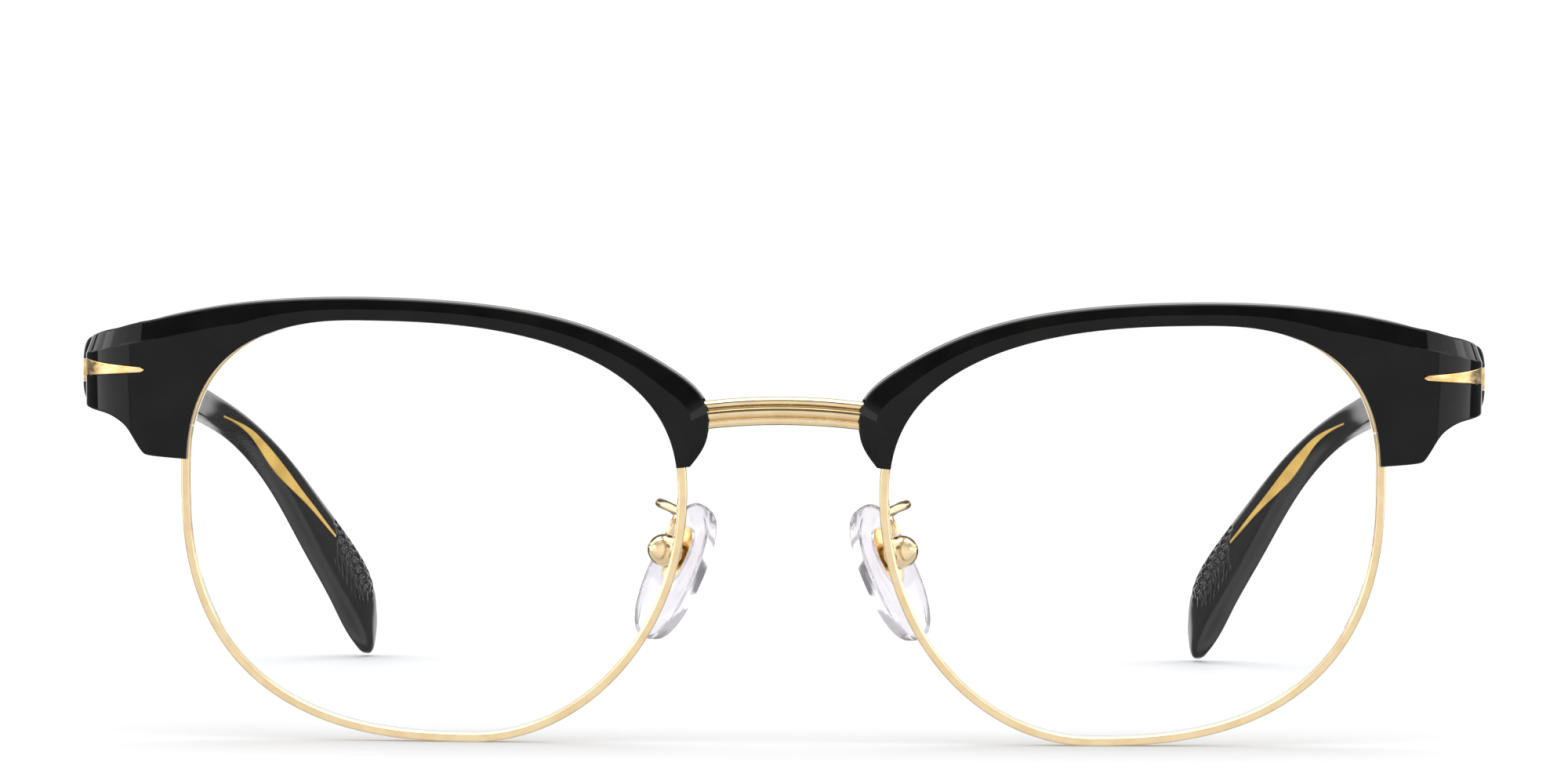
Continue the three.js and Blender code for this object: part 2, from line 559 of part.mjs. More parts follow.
// Gold wedge in the temple's outer face, from the hinge joint back to a point.
function templeInlay(grow = 0) {
  const along = TEMPLE_INLAY_LENGTH / (TEMPLE_STATIONS[1][1] - TEMPLE_STATIONS[0][1]);
  return loft(range(8, 0, 1).map((t, i) => {
    const { at, thickness } = inTemple(Math.max(t * along + (t === 1 ? 0.02 * Math.sign(grow) : 0), 0));
    const half = lerp(INLAY_HALF[1], INLAY_HALF[0], t) * (t === 1 ? 0.5 : 1) + grow;
    const face = thickness / 2 + (grow ? 0.5 : -0.04);
    const floor = thickness / 2 - INLAY_DEPTH - grow;
    return [[floor, -half], [floor, half], [face, half], [face, -half]].map(([out, rise]) => {
      const p = at(out, rise);
      return i ? p : p.setY(HINGE.y + BUTT_GAP + (grow ? -0.5 : 0));
    });
  }));
}

const rivet = (y, radius, from, to) =>
  rod(radius, from, to, 0, 0, 10).rotateY(90 * DEG).translate(0, HINGE.y + y, HINGE.z + LEAF_MIDDLE);

const rivetHoles = () =>
  RIVET_Y.map((y) => rivet(y, RIVET_RADIUS + RIVET_FIT, RIVET_X[0] - 0.5, RIVET_X[1] + 0.2));

const headedRivet = (y) =>
  unite(rivet(y, RIVET_RADIUS, ...RIVET_X), rivet(y, RIVET_HEAD.radius, ...RIVET_HEAD.x));

const temple = () => subtract(templeBlank(), coreWire(INLAY_FIT), templeInlay(INLAY_FIT), ...rivetHoles());

function templeLeaf() {
  const plate = box(LEAF_X, LEAF_Y.map((y) => HINGE.y + y), LEAF_Z.map((z) => HINGE.z + z));
  return subtract(unite(plate, ...knuckles([1, 3], 1, LEAF_X[1] - HINGE.x)), hingeHole(), ...rivetHoles());
}

function hingeScrew() {
  const top = knuckleSpan(KNUCKLES - 1)[1];
  const { head, headHeight, length } = HINGE_SCREW;
  return screw(SCREW_RADIUS, head, headHeight, length).translate(HINGE.x, HINGE.y, top + 0.06);
}

// ---------------------------------------------------------------- nose pad
// Closed curve of the pad family: a full oval of half sizes a along x and b along y.
function oval(a, b, z, sides = 18, power = 2.25) {
  const round = (value) => Math.sign(value) * Math.abs(value) ** (2 / power);
  return range(sides + 1, 0, 2 * Math.PI).slice(0, -1)
    .map((t) => vec(a * round(Math.cos(t)), b * round(Math.sin(t)), z));
}

function nosePad() {
  const { length, width } = PAD_HALF;
  const shape = [[0.82, 0], [0.95, 0.25], [1, 0.8], [0.97, 1.4], [0.86, 1.95], [0.62, PAD_THICKNESS]];
  const body = loft(shape.map(([scale, z]) =>
    oval(width * scale, length - width + width * scale, PAD_BACK + z).map((p) => p.setY(p.y - PAD_DROP))));
  const pocket = loft([-0.5, PAD_POCKET.top].map((z) =>
    oval(PAD_POCKET.width, PAD_POCKET.length, PAD_BACK + z, 14)));
  return subtract(body, pocket);
}

const padPinHole = (radius) =>
  rod(radius, -3, 3, 0, 0, 12).rotateY(90 * DEG).translate(0, 0, PAD_PIVOT_Z);

function padInsert() {
  const plate = loft(INSERT.z.map((z) => oval(INSERT.width, INSERT.length, PAD_BACK + z, 14)));
  const lug = box([-LUG.half, LUG.half], [-LUG.length, LUG.length],
    [PAD_PIVOT_Z - LUG.length, PAD_BACK + 0.3]);
  return subtract(unite(plate, lug), padPinHole(0.5));
}

function padBox() {
  const profile = [[0, BOX_BACK], [0.7, BOX_BACK + 0.12], [1.25, BOX_BACK + 0.55], [1.6, BOX_BACK + 1.2],
    [BOX_RADIUS, BOX_BACK + 2.0], [BOX_RADIUS, -0.2], [0, -0.2]];
  const cup = new THREE.LatheGeometry(profile.map(([r, z]) => new THREE.Vector2(r, z)), 16).rotateX(90 * DEG);
  return subtract(cup, box(BOX_SLOT.x, BOX_SLOT.y, BOX_SLOT.z), padPinHole(0.52));
}

function padScrew() {
  const { shaft, head, headHeight, length, start } = PAD_SCREW;
  return screw(shaft, head, headHeight, length).rotateY(90 * DEG).translate(start, 0, PAD_PIVOT_Z);
}

function padArm() {
  const path = new THREE.CatmullRomCurve3(ARM_PATH.map(([u, y, w]) => atLens(u, y, w)));
  const sides = 8;
  const frames = path.computeFrenetFrames(16);
  return loft(range(17, 0, 1).map((t, i) => {
    const centre = path.getPointAt(t);
    return range(sides + 1, 0, 2 * Math.PI).slice(0, -1).map((a) => centre.clone()
      .addScaledVector(frames.normals[i], ARM_RADIUS * Math.cos(a))
      .addScaledVector(frames.binormals[i], ARM_RADIUS * Math.sin(a)));
  }));
}

function padGroup(side) {
  const nose = vec(-Math.cos(PAD_SPLAY) * Math.cos(PAD_FRONTAL), Math.sin(PAD_SPLAY),
    -Math.cos(PAD_SPLAY) * Math.sin(PAD_FRONTAL));
  const up = vec(-Math.sin(PAD_FRONTAL), 0, Math.cos(PAD_FRONTAL));
  const group = new THREE.Group();
  group.quaternion.setFromRotationMatrix(
    new THREE.Matrix4().makeBasis(up.clone().cross(nose), up, nose));
  group.position.copy(atLens(PAD_ORIGIN.u, PAD_ORIGIN.y, PAD_ORIGIN.w));
  group.add(
    part(`${side}_pad_box`, padBox(), GOLD()),
    part(`${side}_pad_screw`, padScrew(), GOLD()),
    part(`${side}_pad_insert`, padInsert(), DEEP_GOLD()),
    part(`${side}_nose_pad`, nosePad(), CLEAR()),
  );
  return group;
}

// ---------------------------------------------------------------- assembly
function frontSide(side) {
  const group = new THREE.Group();
  group.add(
    part(`${side}_eyewire`, eyewire(), GOLD()),
    part(`${side}_lens`, lens(), CLEAR()),
    part(`${side}_brow`, brow(), ACETATE()),
    part(`${side}_brow_inlay`, trimmedBrowInlay(), DEEP_GOLD()),
    part(`${side}_closing_block_upper`, closingBlock(true), GOLD()),
    part(`${side}_closing_block_lower`, closingBlock(false), GOLD()),
    part(`${side}_closing_screw`, closingScrew(), GOLD()),
    part(`${side}_end_piece`, endPiece(), GOLD()),
    part(`${side}_brow_screw_outer`, browScrew(0), GOLD()),
    part(`${side}_brow_screw_inner`, browScrew(1), GOLD()),
    part(`${side}_pad_arm`, padArm(), GOLD()),
    padGroup(side),
  );
  return group;
}

function templeSide(side) {
  const group = new THREE.Group();
  group.add(
    part(`${side}_temple`, temple(), ACETATE()),
    part(`${side}_temple_core`, coreWire(), DEEP_GOLD()),
    part(`${side}_temple_inlay`, templeInlay(), DEEP_GOLD()),
    part(`${side}_temple_leaf`, templeLeaf(), GOLD()),
    ...RIVET_Y.map((y, i) => part(`${side}_leaf_rivet_${i + 1}`, headedRivet(y), GOLD())),
    part(`${side}_hinge_screw`, hingeScrew(), GOLD()),
  );
  return group;
}

const glasses = new THREE.Group();
const front = new THREE.Group();
front.rotation.x = LEAN;
front.add(part("bridge", bridge(), GOLD()));
glasses.add(front);
for (const [side, mirror] of [["left", 1], ["right", -1]]) {
  const half = frontSide(side);
  const arm = templeSide(side);
  half.scale.x = mirror;
  arm.scale.x = mirror;
  front.add(half);
  glasses.add(arm);
}

// The origin is the middle of the footprint, on the surface that the glasses stand on.
const extent = new THREE.Box3().setFromObject(glasses, true);
glasses.position.set(0, -(extent.min.y + extent.max.y) / 2, -extent.min.z);

export default glasses;
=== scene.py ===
"""Browline eyeglasses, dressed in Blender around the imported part.

The visible pieces are built in millimetres in two frames, then carried into the part's frame in
metres. The front's frame leans about X; the temples' frame stands upright.
"""

import json
import math

import bmesh
import bpy
import numpy as np
from mathutils import Matrix, Vector

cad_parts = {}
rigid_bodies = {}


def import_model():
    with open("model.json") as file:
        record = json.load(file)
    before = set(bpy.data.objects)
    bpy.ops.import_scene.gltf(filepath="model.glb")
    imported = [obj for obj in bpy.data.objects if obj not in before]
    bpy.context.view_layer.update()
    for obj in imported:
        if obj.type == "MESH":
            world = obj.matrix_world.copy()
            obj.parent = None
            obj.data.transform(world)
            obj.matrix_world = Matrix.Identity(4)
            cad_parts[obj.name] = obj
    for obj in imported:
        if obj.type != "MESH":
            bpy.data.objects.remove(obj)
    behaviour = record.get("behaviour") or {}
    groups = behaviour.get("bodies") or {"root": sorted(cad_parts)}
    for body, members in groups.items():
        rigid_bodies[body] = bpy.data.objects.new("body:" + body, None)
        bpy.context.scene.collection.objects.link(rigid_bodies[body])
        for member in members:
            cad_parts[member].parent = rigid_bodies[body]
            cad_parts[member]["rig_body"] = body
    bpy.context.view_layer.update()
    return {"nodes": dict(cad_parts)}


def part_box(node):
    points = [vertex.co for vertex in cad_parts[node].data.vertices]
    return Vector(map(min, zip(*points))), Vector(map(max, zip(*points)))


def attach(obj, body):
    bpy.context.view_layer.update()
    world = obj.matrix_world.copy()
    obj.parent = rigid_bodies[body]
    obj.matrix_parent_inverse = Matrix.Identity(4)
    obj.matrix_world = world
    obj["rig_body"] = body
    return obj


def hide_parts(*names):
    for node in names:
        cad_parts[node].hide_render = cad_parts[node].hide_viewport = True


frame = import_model()

# ------------------------------------------------------------------ driving dimensions (mm)
DEG = math.pi / 180
MM = 0.001
LEAN = 3.6 * DEG

LENS_X = 35.9
OUTLINE = {"temple": 24.8, "nose": -25.15, "top": 20.95, "bottom": -21.25}
TOP_APEX_U, BOTTOM_APEX_U = 7.0, -4.3
TEMPLE_APEX_W, NOSE_APEX_W = 5.1, 3.2
POWER_TOP_TEMPLE, POWER_TOP_NOSE, POWER_BOTTOM_NOSE, POWER_BOTTOM_TEMPLE = 2.48, 2.49, 1.97, 2.58
LENS_RADIUS = 130
WRAP = math.tan(4 * DEG)
LENS_THICKNESS = 1.8
LENS_FIT = 0.06
BEVEL, BEVEL_HALF_WIDTH = 0.42, 0.55
RIM_HEIGHT, RIM_DEPTH = 0.95, 2.2
RIM_GROOVE, RIM_LIP, RIM_FRONT_LIP, RIM_CHAMFER = 0.46, 0.35, 0.5, 0.2
LENS_Z = RIM_HEIGHT - OUTLINE["bottom"]
SPLIT_ANGLE, SPLIT_HALF_GAP = 13 * DEG, 0.3 * DEG

BROW_THICKNESS, BROW_END_THICKNESS = 4.2, 3.8
BROW_THINS = (30, 42)  # u where the brow starts and stops getting thinner
BROW_LIP = 1.2
GROOVE_PLAY, GROOVE_INSIDE, GROOVE_REACH = 0.1, -1.2, (-14 * DEG, 194 * DEG)
BEND_START, BEND_RADIUS, BEND_END_ANGLE = 29.6, 9.6, 86 * DEG
BEND_BLEND = (26, 32)  # u over which depth turns from straight back to square on the plate
FACET_WIDTH, FACET_SHARE, FACET_SLOPE, TOP_DROP = 2.0, 0.48, 0.34, 0.08
LENS_EDGE_SETBACK, SETBACK_COSINES = 0.32, (0.3, 0.95)
# outline angle in degrees, then the top edge's u and w
RIM_RIBS = [
    (173.6, -26.4, 6.35), (169, -27.9, 8.6), (165, -28.3, 10.6), (161, -28.1, 12.4),
    (157, -27.0, 14.1), (150, -24.4, 16.15), (141, -21.2, 18.05), (130, -16.8, 20.05),
    (118, -11.2, 21.65), (105, -4.0, 22.7), (91, 4.8, 23.15), (78, 12.4, 23.05),
    (60, 18.2, 22.6), (42, 23.0, 21.9), (22, 26.4, 21.2), (2.8, 28.9, 20.65),
]
# lower edge's u and w, then the top edge's u and w
END_RIBS = [
    (27.4, 6.62, 29.7, 20.5), (29.3, 6.8, 30.4, 20.4), (29.8, 7.05, 30.8, 20.3),
    (30.4, 7.8, 31.3, 20.2), (31.4, 9.2, 32.2, 20.0), (32.7, 10.2, 33.5, 19.7),
    (34.5, 10.8, 35.3, 19.4), (36.5, 11.0, 37.0, 19.1), (38.5, 11.1, 38.8, 18.8),
    (40.3, 11.15, 40.5, 18.6), (41.7, 11.2, 41.8, 18.5), (44.5, 11.2, 44.5, 18.3),
]
END_RIM_W = 6.5
OUTER, INNER = 0, 1
BROW_SCREWS = [(31.4, 14.4, END_RIM_W), (-25.9, 13.6, 12.5)]  # u, w and the rim's w beside it
BROW_SCREW_HOLE = 0.62

# measured at the rim's split: x outwards from the rim, y back, z up along it
BLOCK_X, BLOCK_Y, BLOCK_Z = (0.08, 2.2), (-1.0, 1.05), (0.12, 2.3)
BLOCK_POCKET = ((0.04, 2.5), (-1.3, 6), (-3.2, 2.6))
CLOSING_X, CLOSING_Y, CLOSING_HEAD_Z = 1.15, 0.1, -2.36
CLOSING_HOLE, DRIVER_HOLE = 0.66, 1.1
FOOT = ((0.3, 2.2), (1.12, 2.3), (0.2, 2.3))

# the end piece's bar along the brow's back
BAR_U, BAR_W, BAR_HALF = (26.1, 41.1), (11.4, 14.75), (1.25, 2.7)
BAR_THICKNESS, BAR_GAP = 1, 0.15

HINGE = Vector((67.2, 11.6, 37.7))
KNUCKLE_RADIUS, KNUCKLE_PITCH, KNUCKLE_HEIGHT, KNUCKLES = 1.3, 1.15, 1.05, 5
KNUCKLE_ARM_Y, FRONT_ARM, TEMPLE_ARM = (0.45, 2.3), 1.25, 1.8
BUTT_GAP = 0.15
SCREW_HOLE_RADIUS = 0.75
HINGE_HEAD_TOP = HINGE.z + 3.435

TEMPLE_STATIONS = np.array([  # x, y, z, height, thickness
    (71.05, 11.75, 37.7, 7.2, 3.7), (70.8, 26, 37.3, 6.6, 3.6), (69.9, 45, 36.5, 5.7, 3.35),
    (69.0, 66, 34.7, 4.5, 2.9), (67.15, 90, 32.1, 3.6, 2.6), (64.3, 101.5, 29.2, 3.6, 2.5),
    (61.1, 111.5, 24.6, 4.5, 2.5), (57.3, 125.5, 16.7, 6.9, 2.6), (54.2, 137.5, 9.8, 8.5, 2.7),
    (52.5, 144.5, 4.4, 7.3, 2.6), (52.2, 148.0, 1.37, 3.5, 2.1),
])
SECTION_POWER = 3.4
CORE_STRIP = [  # temple station, height of its middle over the centre line, half width
    (4.2, -0.45, 0.12), (4.6, -0.2, 0.18), (5.0, -0.05, 0.42), (5.4, -0.35, 0.76), (5.9, -0.6, 0.92),
    (6.3, -0.3, 0.64), (6.75, 0.45, 0.36), (7.3, 1.15, 0.18),
]
CORE_DEPTH = 0.7
# distances along the temple; higher up the section the waves end further along
WAVE_START, WAVE_LATE, WAVE_RISE_IN, WAVE_FADE = 121.5, 2.0, 1.5, (134, 139)
WAVE_PITCH, WAVE_DEPTH = 1.9, 0.3
TIP_STATION, TIP_LENGTH, TIP_DROP = 9.3, 0.7, 0.8
BUTT_EDGE, BUTT_INSET = 0.16, (0.93, 1, 0.965)
# a wedge's half width and the brow wedge's height, each at its point and at its wide end
INLAY_DEPTH, INLAY_FIT, INLAY_HALF = 0.35, 0.08, (0.24, 1.14)
CUTTER_OVER = 0.5  # how far a pocket's cutter stands out of the surface
TEMPLE_INLAY_LENGTH = 16
BROW_INLAY_START, BROW_INLAY_END, BROW_POCKET_END = 29.6, 43.2, 44.5
BROW_INLAY_WIDE, BROW_INLAY_W = 43.5, (15.55, 15.25)

# the leaf and its rivets: x in the temple's frame, y back from the hinge's axis, z up from its middle
LEAF_X, LEAF_Y, LEAF_Z = (68.2, 69.0), (1.7, 11.5), (-2.6, 2.0)
RIVETS_BACK, RIVETS_UP, RIVET_HOLE = (5.0, 9.2), -0.3, 0.7

BRIDGE_REACH, SOLDER_GAP = 11.6, 0.06
BRIDGE_W, BRIDGE_Y = (12.0, 10.9), (0.5, 1.5)
BRIDGE_SLOT_X, BRIDGE_SLOT_Y, BRIDGE_SLOT_W = 11.8, (-0.12, 2.55), (9.3, 13.2)

PAD_ORIGIN = (-24.65, 7.2, -3.35)
PAD_FRONTAL, PAD_SPLAY = 24 * DEG, 37.5 * DEG
PAD_LENGTH, PAD_WIDTH, PAD_DROP = 7.5, 3.85, 1.75
PAD_BACK, PAD_PIVOT_Z = 0.3, -1.1
PAD_DOME, PAD_CROWN = 2.29, 2.3
PLATE_WIDTH, PLATE_LENGTH = 1.55, 3.05
POCKET_WIDTH, POCKET_LENGTH, POCKET_Z = 1.7, 3.2, (-0.5, 0.7)
LUG_X, LUG_Y, LUG_ROUND_PIVOT, LUG_IN_PLATE = (-0.45, 0.45), (-0.8, 0.8), 0.8, 0.3
BOX_RADIUS, BOX_BACK, BOX_FRONT, BOX_DOME = 1.7, -3.2, -0.2, 2.0
BOX_SLOT = ((-0.6, 0.6), (-1.15, 1.15), (-2.15, 1))
LUG_HOLE, BOX_HOLE, PAD_SCREW_X = 0.5, 0.52, 1.72
ARM_RADIUS = 0.48
ARM_PATH = [
    (-25.6, 2.4, 1.25), (-24.8, 3.6, 1.55), (-23.6, 5.2, 1.9), (-23.15, 6.6, 1.95), (-23.5, 7.7, 1.75),
    (-24.3, 7.9, 1.3), (-24.95, 7.2, 0.7), (-24.75, 6.45, 0), (-24.2, 6.23, -1.18),
]

SHARP_ANGLE = 32 * DEG
CORNER_SHARE, SUPPORT_SHARE = 0.42, 0.07  # of the shorter side at a corner


# ------------------------------------------------------------------ numbers and curves
def lerp(a, b, t):
    return a + (b - a) * t


def smoothstep(x, low, high):
    t = np.clip((x - low) / (high - low), 0, 1)
    return t * t * (3 - 2 * t)


def powered(value, power):
    return np.sign(value) * np.abs(value) ** power


class Spline:
    """Natural cubic curve through points, by distance along their chords, or by given knots."""

    def __init__(self, points, knots=None):
        self.y = np.asarray(points, float)
        steps = np.linalg.norm(np.diff(self.y, axis=0), axis=1)
        self.t = np.concatenate([[0], np.cumsum(steps)]) if knots is None else np.asarray(knots, float)
        count, h = len(self.t), np.diff(self.t)
        system, right = np.eye(count), np.zeros_like(self.y)
        for i in range(1, count - 1):
            system[i, i - 1:i + 2] = h[i - 1], 2 * (h[i - 1] + h[i]), h[i]
            right[i] = 6 * ((self.y[i + 1] - self.y[i]) / h[i] - (self.y[i] - self.y[i - 1]) / h[i - 1])
        self.bend = np.linalg.solve(system, right)

    def place(self, s):
        i = np.clip(np.searchsorted(self.t, s, "right") - 1, 0, len(self.t) - 2)
        h = (self.t[i + 1] - self.t[i])[..., None]
        b = (s - self.t[i])[..., None] / h
        return i, h, 1 - b, b

    def at(self, s):
        i, h, a, b = self.place(np.asarray(s, float))
        return (a * self.y[i] + b * self.y[i + 1]
                + ((a ** 3 - a) * self.bend[i] + (b ** 3 - b) * self.bend[i + 1]) * h * h / 6)

    def slope(self, s):
        i, h, a, b = self.place(np.asarray(s, float))
        return ((self.y[i + 1] - self.y[i]) / h
                + ((3 * b * b - 1) * self.bend[i + 1] - (3 * a * a - 1) * self.bend[i]) * h / 6)


def unit(v):
    return v / np.linalg.norm(v, axis=-1, keepdims=True)


def rounded(corners, steps=4, support=0.05):
    """Closed polygon of (x, y, radius) corners, with support points where each round ends."""
    made = []
    count = len(corners)
    for i in range(count):
        here, before, after = (np.array(corners[k][:2], float) for k in (i, i - 1, (i + 1) % count))
        back, on = before - here, after - here
        room = min(np.linalg.norm(back), np.linalg.norm(on))
        back, on = unit(back), unit(on)
        half = math.acos(max(-1, min(1, float(back @ on)))) / 2
        cut = min(corners[i][2] / math.tan(half), CORNER_SHARE * room)
        radius = cut * math.tan(half)
        centre = here + unit(back + on) * (radius / math.sin(half))
        start, end = here + back * cut - centre, here + on * cut - centre
        sweep = math.pi - 2 * half
        extra = min(support, SUPPORT_SHARE * room)
        made.append(here + back * (cut + extra))
        for k in range(steps + 1):
            t = k / steps
            made.append(centre + (start * math.sin((1 - t) * sweep) + end * math.sin(t * sweep))
                        / math.sin(sweep))
        made.append(here + on * (cut + extra))
    return np.array(made)


# ------------------------------------------------------------------ solids, as meshes in mm
def mesh_of(points, faces):
    """A mesh whose faces look outwards."""
    points = np.asarray(points, float)
    volume = sum(points[f[0]] @ np.cross(points[f[k]], points[f[k + 1]])
                 for f in faces for k in range(1, len(f) - 1))
    if volume < 0:
        faces = [tuple(reversed(f)) for f in faces]
    mesh = bpy.data.meshes.new("solid")
    mesh.from_pydata(points.tolist(), [], faces)
    return mesh


def loft(rings, poles=(None, None)):
    """Skin over rings of equal size. An end is a flat cap, or a fan to a pole."""
    rings = np.asarray(rings, float)
    count, sides = rings.shape[:2]
    points = list(rings.reshape(-1, 3))
    faces = []
    for i in range(count - 1):
        here, there = i * sides, (i + 1) * sides
        faces += [(here + j, here + (j + 1) % sides, there + (j + 1) % sides, there + j)
                  for j in range(sides)]
    for end, pole in enumerate(poles):
        start = (count - 1) * sides if end else 0
        ring = [start + j for j in range(sides)]
        if not end:
            ring.reverse()
        if pole is None:
            faces.append(tuple(ring))
        else:
            faces += [(ring[j], ring[(j + 1) % sides], len(points)) for j in range(sides)]
            points.append(np.asarray(pole, float))
    return mesh_of(points, faces)


def lathe(profile, sides=48):
    """Turned solid about Z. The profile's first and last points are on the axis."""
    turn = np.linspace(0, 2 * math.pi, sides, endpoint=False)
    rings = [np.stack([r * np.cos(turn), r * np.sin(turn), np.full(sides, z)], 1)
             for r, z in profile[1:-1]]
    return loft(rings, ((0, 0, profile[0][1]), (0, 0, profile[-1][1])))


def rod(radius, low, high, edge=0.01, x=0.0, y=0.0):
    """Upright cylinder with rounded edges."""
    profile = rounded([(0, low, 0), (radius, low, edge), (radius, high, edge), (0, high, 0)])
    # the lathe makes its own points on the axis
    skin = [(r, z) for r, z in profile if r > radius * 0.2]
    return moved(lathe([(0, low), *skin, (0, high)]), Matrix.Translation((x, y, 0)))


def box(x, y, z, edge=0.0):
    """Box between limits. Its edges are rounded when edge is given."""
    shape = bmesh.new()
    bmesh.ops.create_cube(shape, size=1)
    for v in shape.verts:
        v.co = [lerp(*span, v.co[k] + 0.5) for k, span in enumerate((x, y, z))]
    if edge:
        bmesh.ops.bevel(shape, geom=shape.edges[:], offset=edge, segments=3, profile=0.5,
                        affect="EDGES", clamp_overlap=True)
    mesh = bpy.data.meshes.new("solid")
    shape.to_mesh(mesh)
    shape.free()
    return mesh


def moved(mesh, matrix):
    mesh.transform(matrix)
    return mesh


def mirrored(mesh):
    copy = mesh.copy()
    copy.transform(Matrix.Diagonal((-1, 1, 1, 1)))
    copy.flip_normals()
    return copy


def combined(operation, body, tools):
    """The body with tools cut from it or joined to it."""
    scene = bpy.context.scene.collection
    holder = bpy.data.objects.new("holder", body)
    scene.objects.link(holder)
    helpers = []
    for tool in tools:
        helper = bpy.data.objects.new("tool", tool)
        scene.objects.link(helper)
        helpers.append(helper)
        step = holder.modifiers.new("step", "BOOLEAN")
        step.operation, step.solver, step.object = operation, "MANIFOLD", helper
    finished = holder.evaluated_get(bpy.context.evaluated_depsgraph_get())
    made = bpy.data.meshes.new_from_object(finished)
    for o in (holder, *helpers):
        data = o.data
        bpy.data.objects.remove(o)
        bpy.data.meshes.remove(data)
    return made


def cut(body, *tools):
    return combined("DIFFERENCE", body, tools)


def joined(body, *more):
    return combined("UNION", body, more)


# ------------------------------------------------------------------ materials
class Surface:
    """A node material around one Principled shader, patterned in the object's own space."""

    def __init__(self, name, **plain):
        self.material = bpy.data.materials.new(name)
        self.material.use_nodes = True
        self.tree = self.material.node_tree
        self.shader = self.tree.nodes["Principled BSDF"]
        for socket, value in plain.items():
            self.shader.inputs[socket.replace("_", " ")].default_value = value
        self.space = self.tree.nodes.new("ShaderNodeTexCoord").outputs["Object"]

    def noise(self, scale, detail, stretch=(1, 1, 1)):
        """Noise with about scale features a metre."""
        mapping = self.tree.nodes.new("ShaderNodeMapping")
        mapping.inputs["Scale"].default_value = stretch
        self.tree.links.new(self.space, mapping.inputs["Vector"])
        node = self.tree.nodes.new("ShaderNodeTexNoise")
        node.inputs["Scale"].default_value = scale
        node.inputs["Detail"].default_value = detail
        self.tree.links.new(mapping.outputs["Vector"], node.inputs["Vector"])
        return node.outputs[0]

    def ramp(self, source, stops):
        """Colours or plain levels at (position, value) stops of the source."""
        node = self.tree.nodes.new("ShaderNodeValToRGB")
        while len(node.color_ramp.elements) < len(stops):
            node.color_ramp.elements.new(0.5)
        for element, (position, colour) in zip(node.color_ramp.elements, stops):
            element.position = position
            element.color = (*(colour if np.ndim(colour) else (colour,) * 3), 1)
        self.tree.links.new(source, node.inputs["Fac"])
        return node.outputs["Color"]

    def drive(self, socket, source):
        self.tree.links.new(source, self.shader.inputs[socket])

    def relief(self, *layers):
        """Bump layers of (height source, strength, distance in metres)."""
        normal = None
        for height, strength, distance in layers:
            node = self.tree.nodes.new("ShaderNodeBump")
            node.inputs["Strength"].default_value = strength
            node.inputs["Distance"].default_value = distance
            self.tree.links.new(height, node.inputs["Height"])
            if normal is not None:
                self.tree.links.new(normal, node.inputs["Normal"])
            normal = node.outputs["Normal"]
        self.drive("Normal", normal)


def acetate():
    s = Surface("black_acetate", IOR=1.49, Specular_IOR_Level=0.19)
    s.drive("Base Color", s.ramp(s.noise(210, 4), [(0.35, (0.0028, 0.0028, 0.003)),
                                                   (0.7, (0.0065, 0.006, 0.0056))]))
    s.drive("Roughness", s.ramp(s.noise(700, 3), [(0.3, 0.02), (0.75, 0.06)]))
    s.relief((s.noise(160, 1), 0.25, 0.00002), (s.noise(3200, 2), 0.05, 0.00001))
    return s.material


def gold(name, light, dark, roughness, stretch=(1, 1, 1), grain=2600, mottle=500, strength=0.12):
    """Metal mottled from dark to light, with grain that sets its roughness and fine relief."""
    s = Surface(name, Metallic=1.0)
    smooth, rough = roughness
    s.drive("Base Color", s.ramp(s.noise(mottle, 3, stretch), [(0.35, dark), (0.62, light)]))
    s.drive("Roughness", s.ramp(s.noise(grain / 2, 3, stretch), [(0.3, smooth), (0.72, rough)]))
    s.relief((s.noise(grain, 2, stretch), strength, 0.00001))
    return s.material


def clear_lens():
    s = Surface("clear_lens", IOR=1.22, Transmission_Weight=1.0, Specular_IOR_Level=0.3)
    s.drive("Base Color", s.ramp(s.noise(30, 1), [(0.3, (0.985, 0.99, 0.99)),
                                                  (0.7, (0.995, 0.995, 1.0))]))
    s.drive("Roughness", s.ramp(s.noise(220, 3), [(0.55, 0.0), (0.8, 0.015)]))
    return s.material


def silicone():
    s = Surface("clear_silicone", IOR=1.36, Transmission_Weight=0.88, Specular_IOR_Level=0.5)
    s.drive("Base Color", s.ramp(s.noise(420, 2), [(0.3, (0.86, 0.83, 0.91)),
                                                   (0.7, (0.95, 0.93, 0.97))]))
    s.drive("Roughness", s.ramp(s.noise(900, 2), [(0.3, 0.04), (0.75, 0.12)]))
    s.relief((s.noise(900, 2), 0.06, 0.00002))
    return s.material


def core_wire_gold():
    """Duller gold for the wire in the temple, mottled along it."""
    s = Surface("core_gold", Metallic=0.25, Specular_IOR_Level=0.4)
    s.drive("Base Color", s.ramp(s.noise(260, 4, (1.6, 0.25, 1.6)),
                                 [(0.3, (0.60, 0.36, 0.06)), (0.6, (0.80, 0.53, 0.12))]))
    s.drive("Roughness", s.ramp(s.noise(1500, 3), [(0.3, 0.3), (0.72, 0.5)]))
    s.relief((s.noise(2600, 2), 0.08, 0.00001))
    return s.material


ACETATE = acetate()
GOLD = gold("gold_metal", (0.91, 0.72, 0.44), (0.85, 0.65, 0.38), (0.13, 0.22))
SCREW = gold("screw_metal", (0.90, 0.68, 0.40), (0.78, 0.56, 0.30), (0.2, 0.34), grain=3600)
INLAY = gold("inlay_gold", (0.98, 0.76, 0.40), (0.74, 0.47, 0.17), (0.2, 0.42), (0.5, 0.5, 1.6),
             grain=3000, mottle=900, strength=0.3)
CORE = core_wire_gold()
LENS = clear_lens()
SILICONE = silicone()

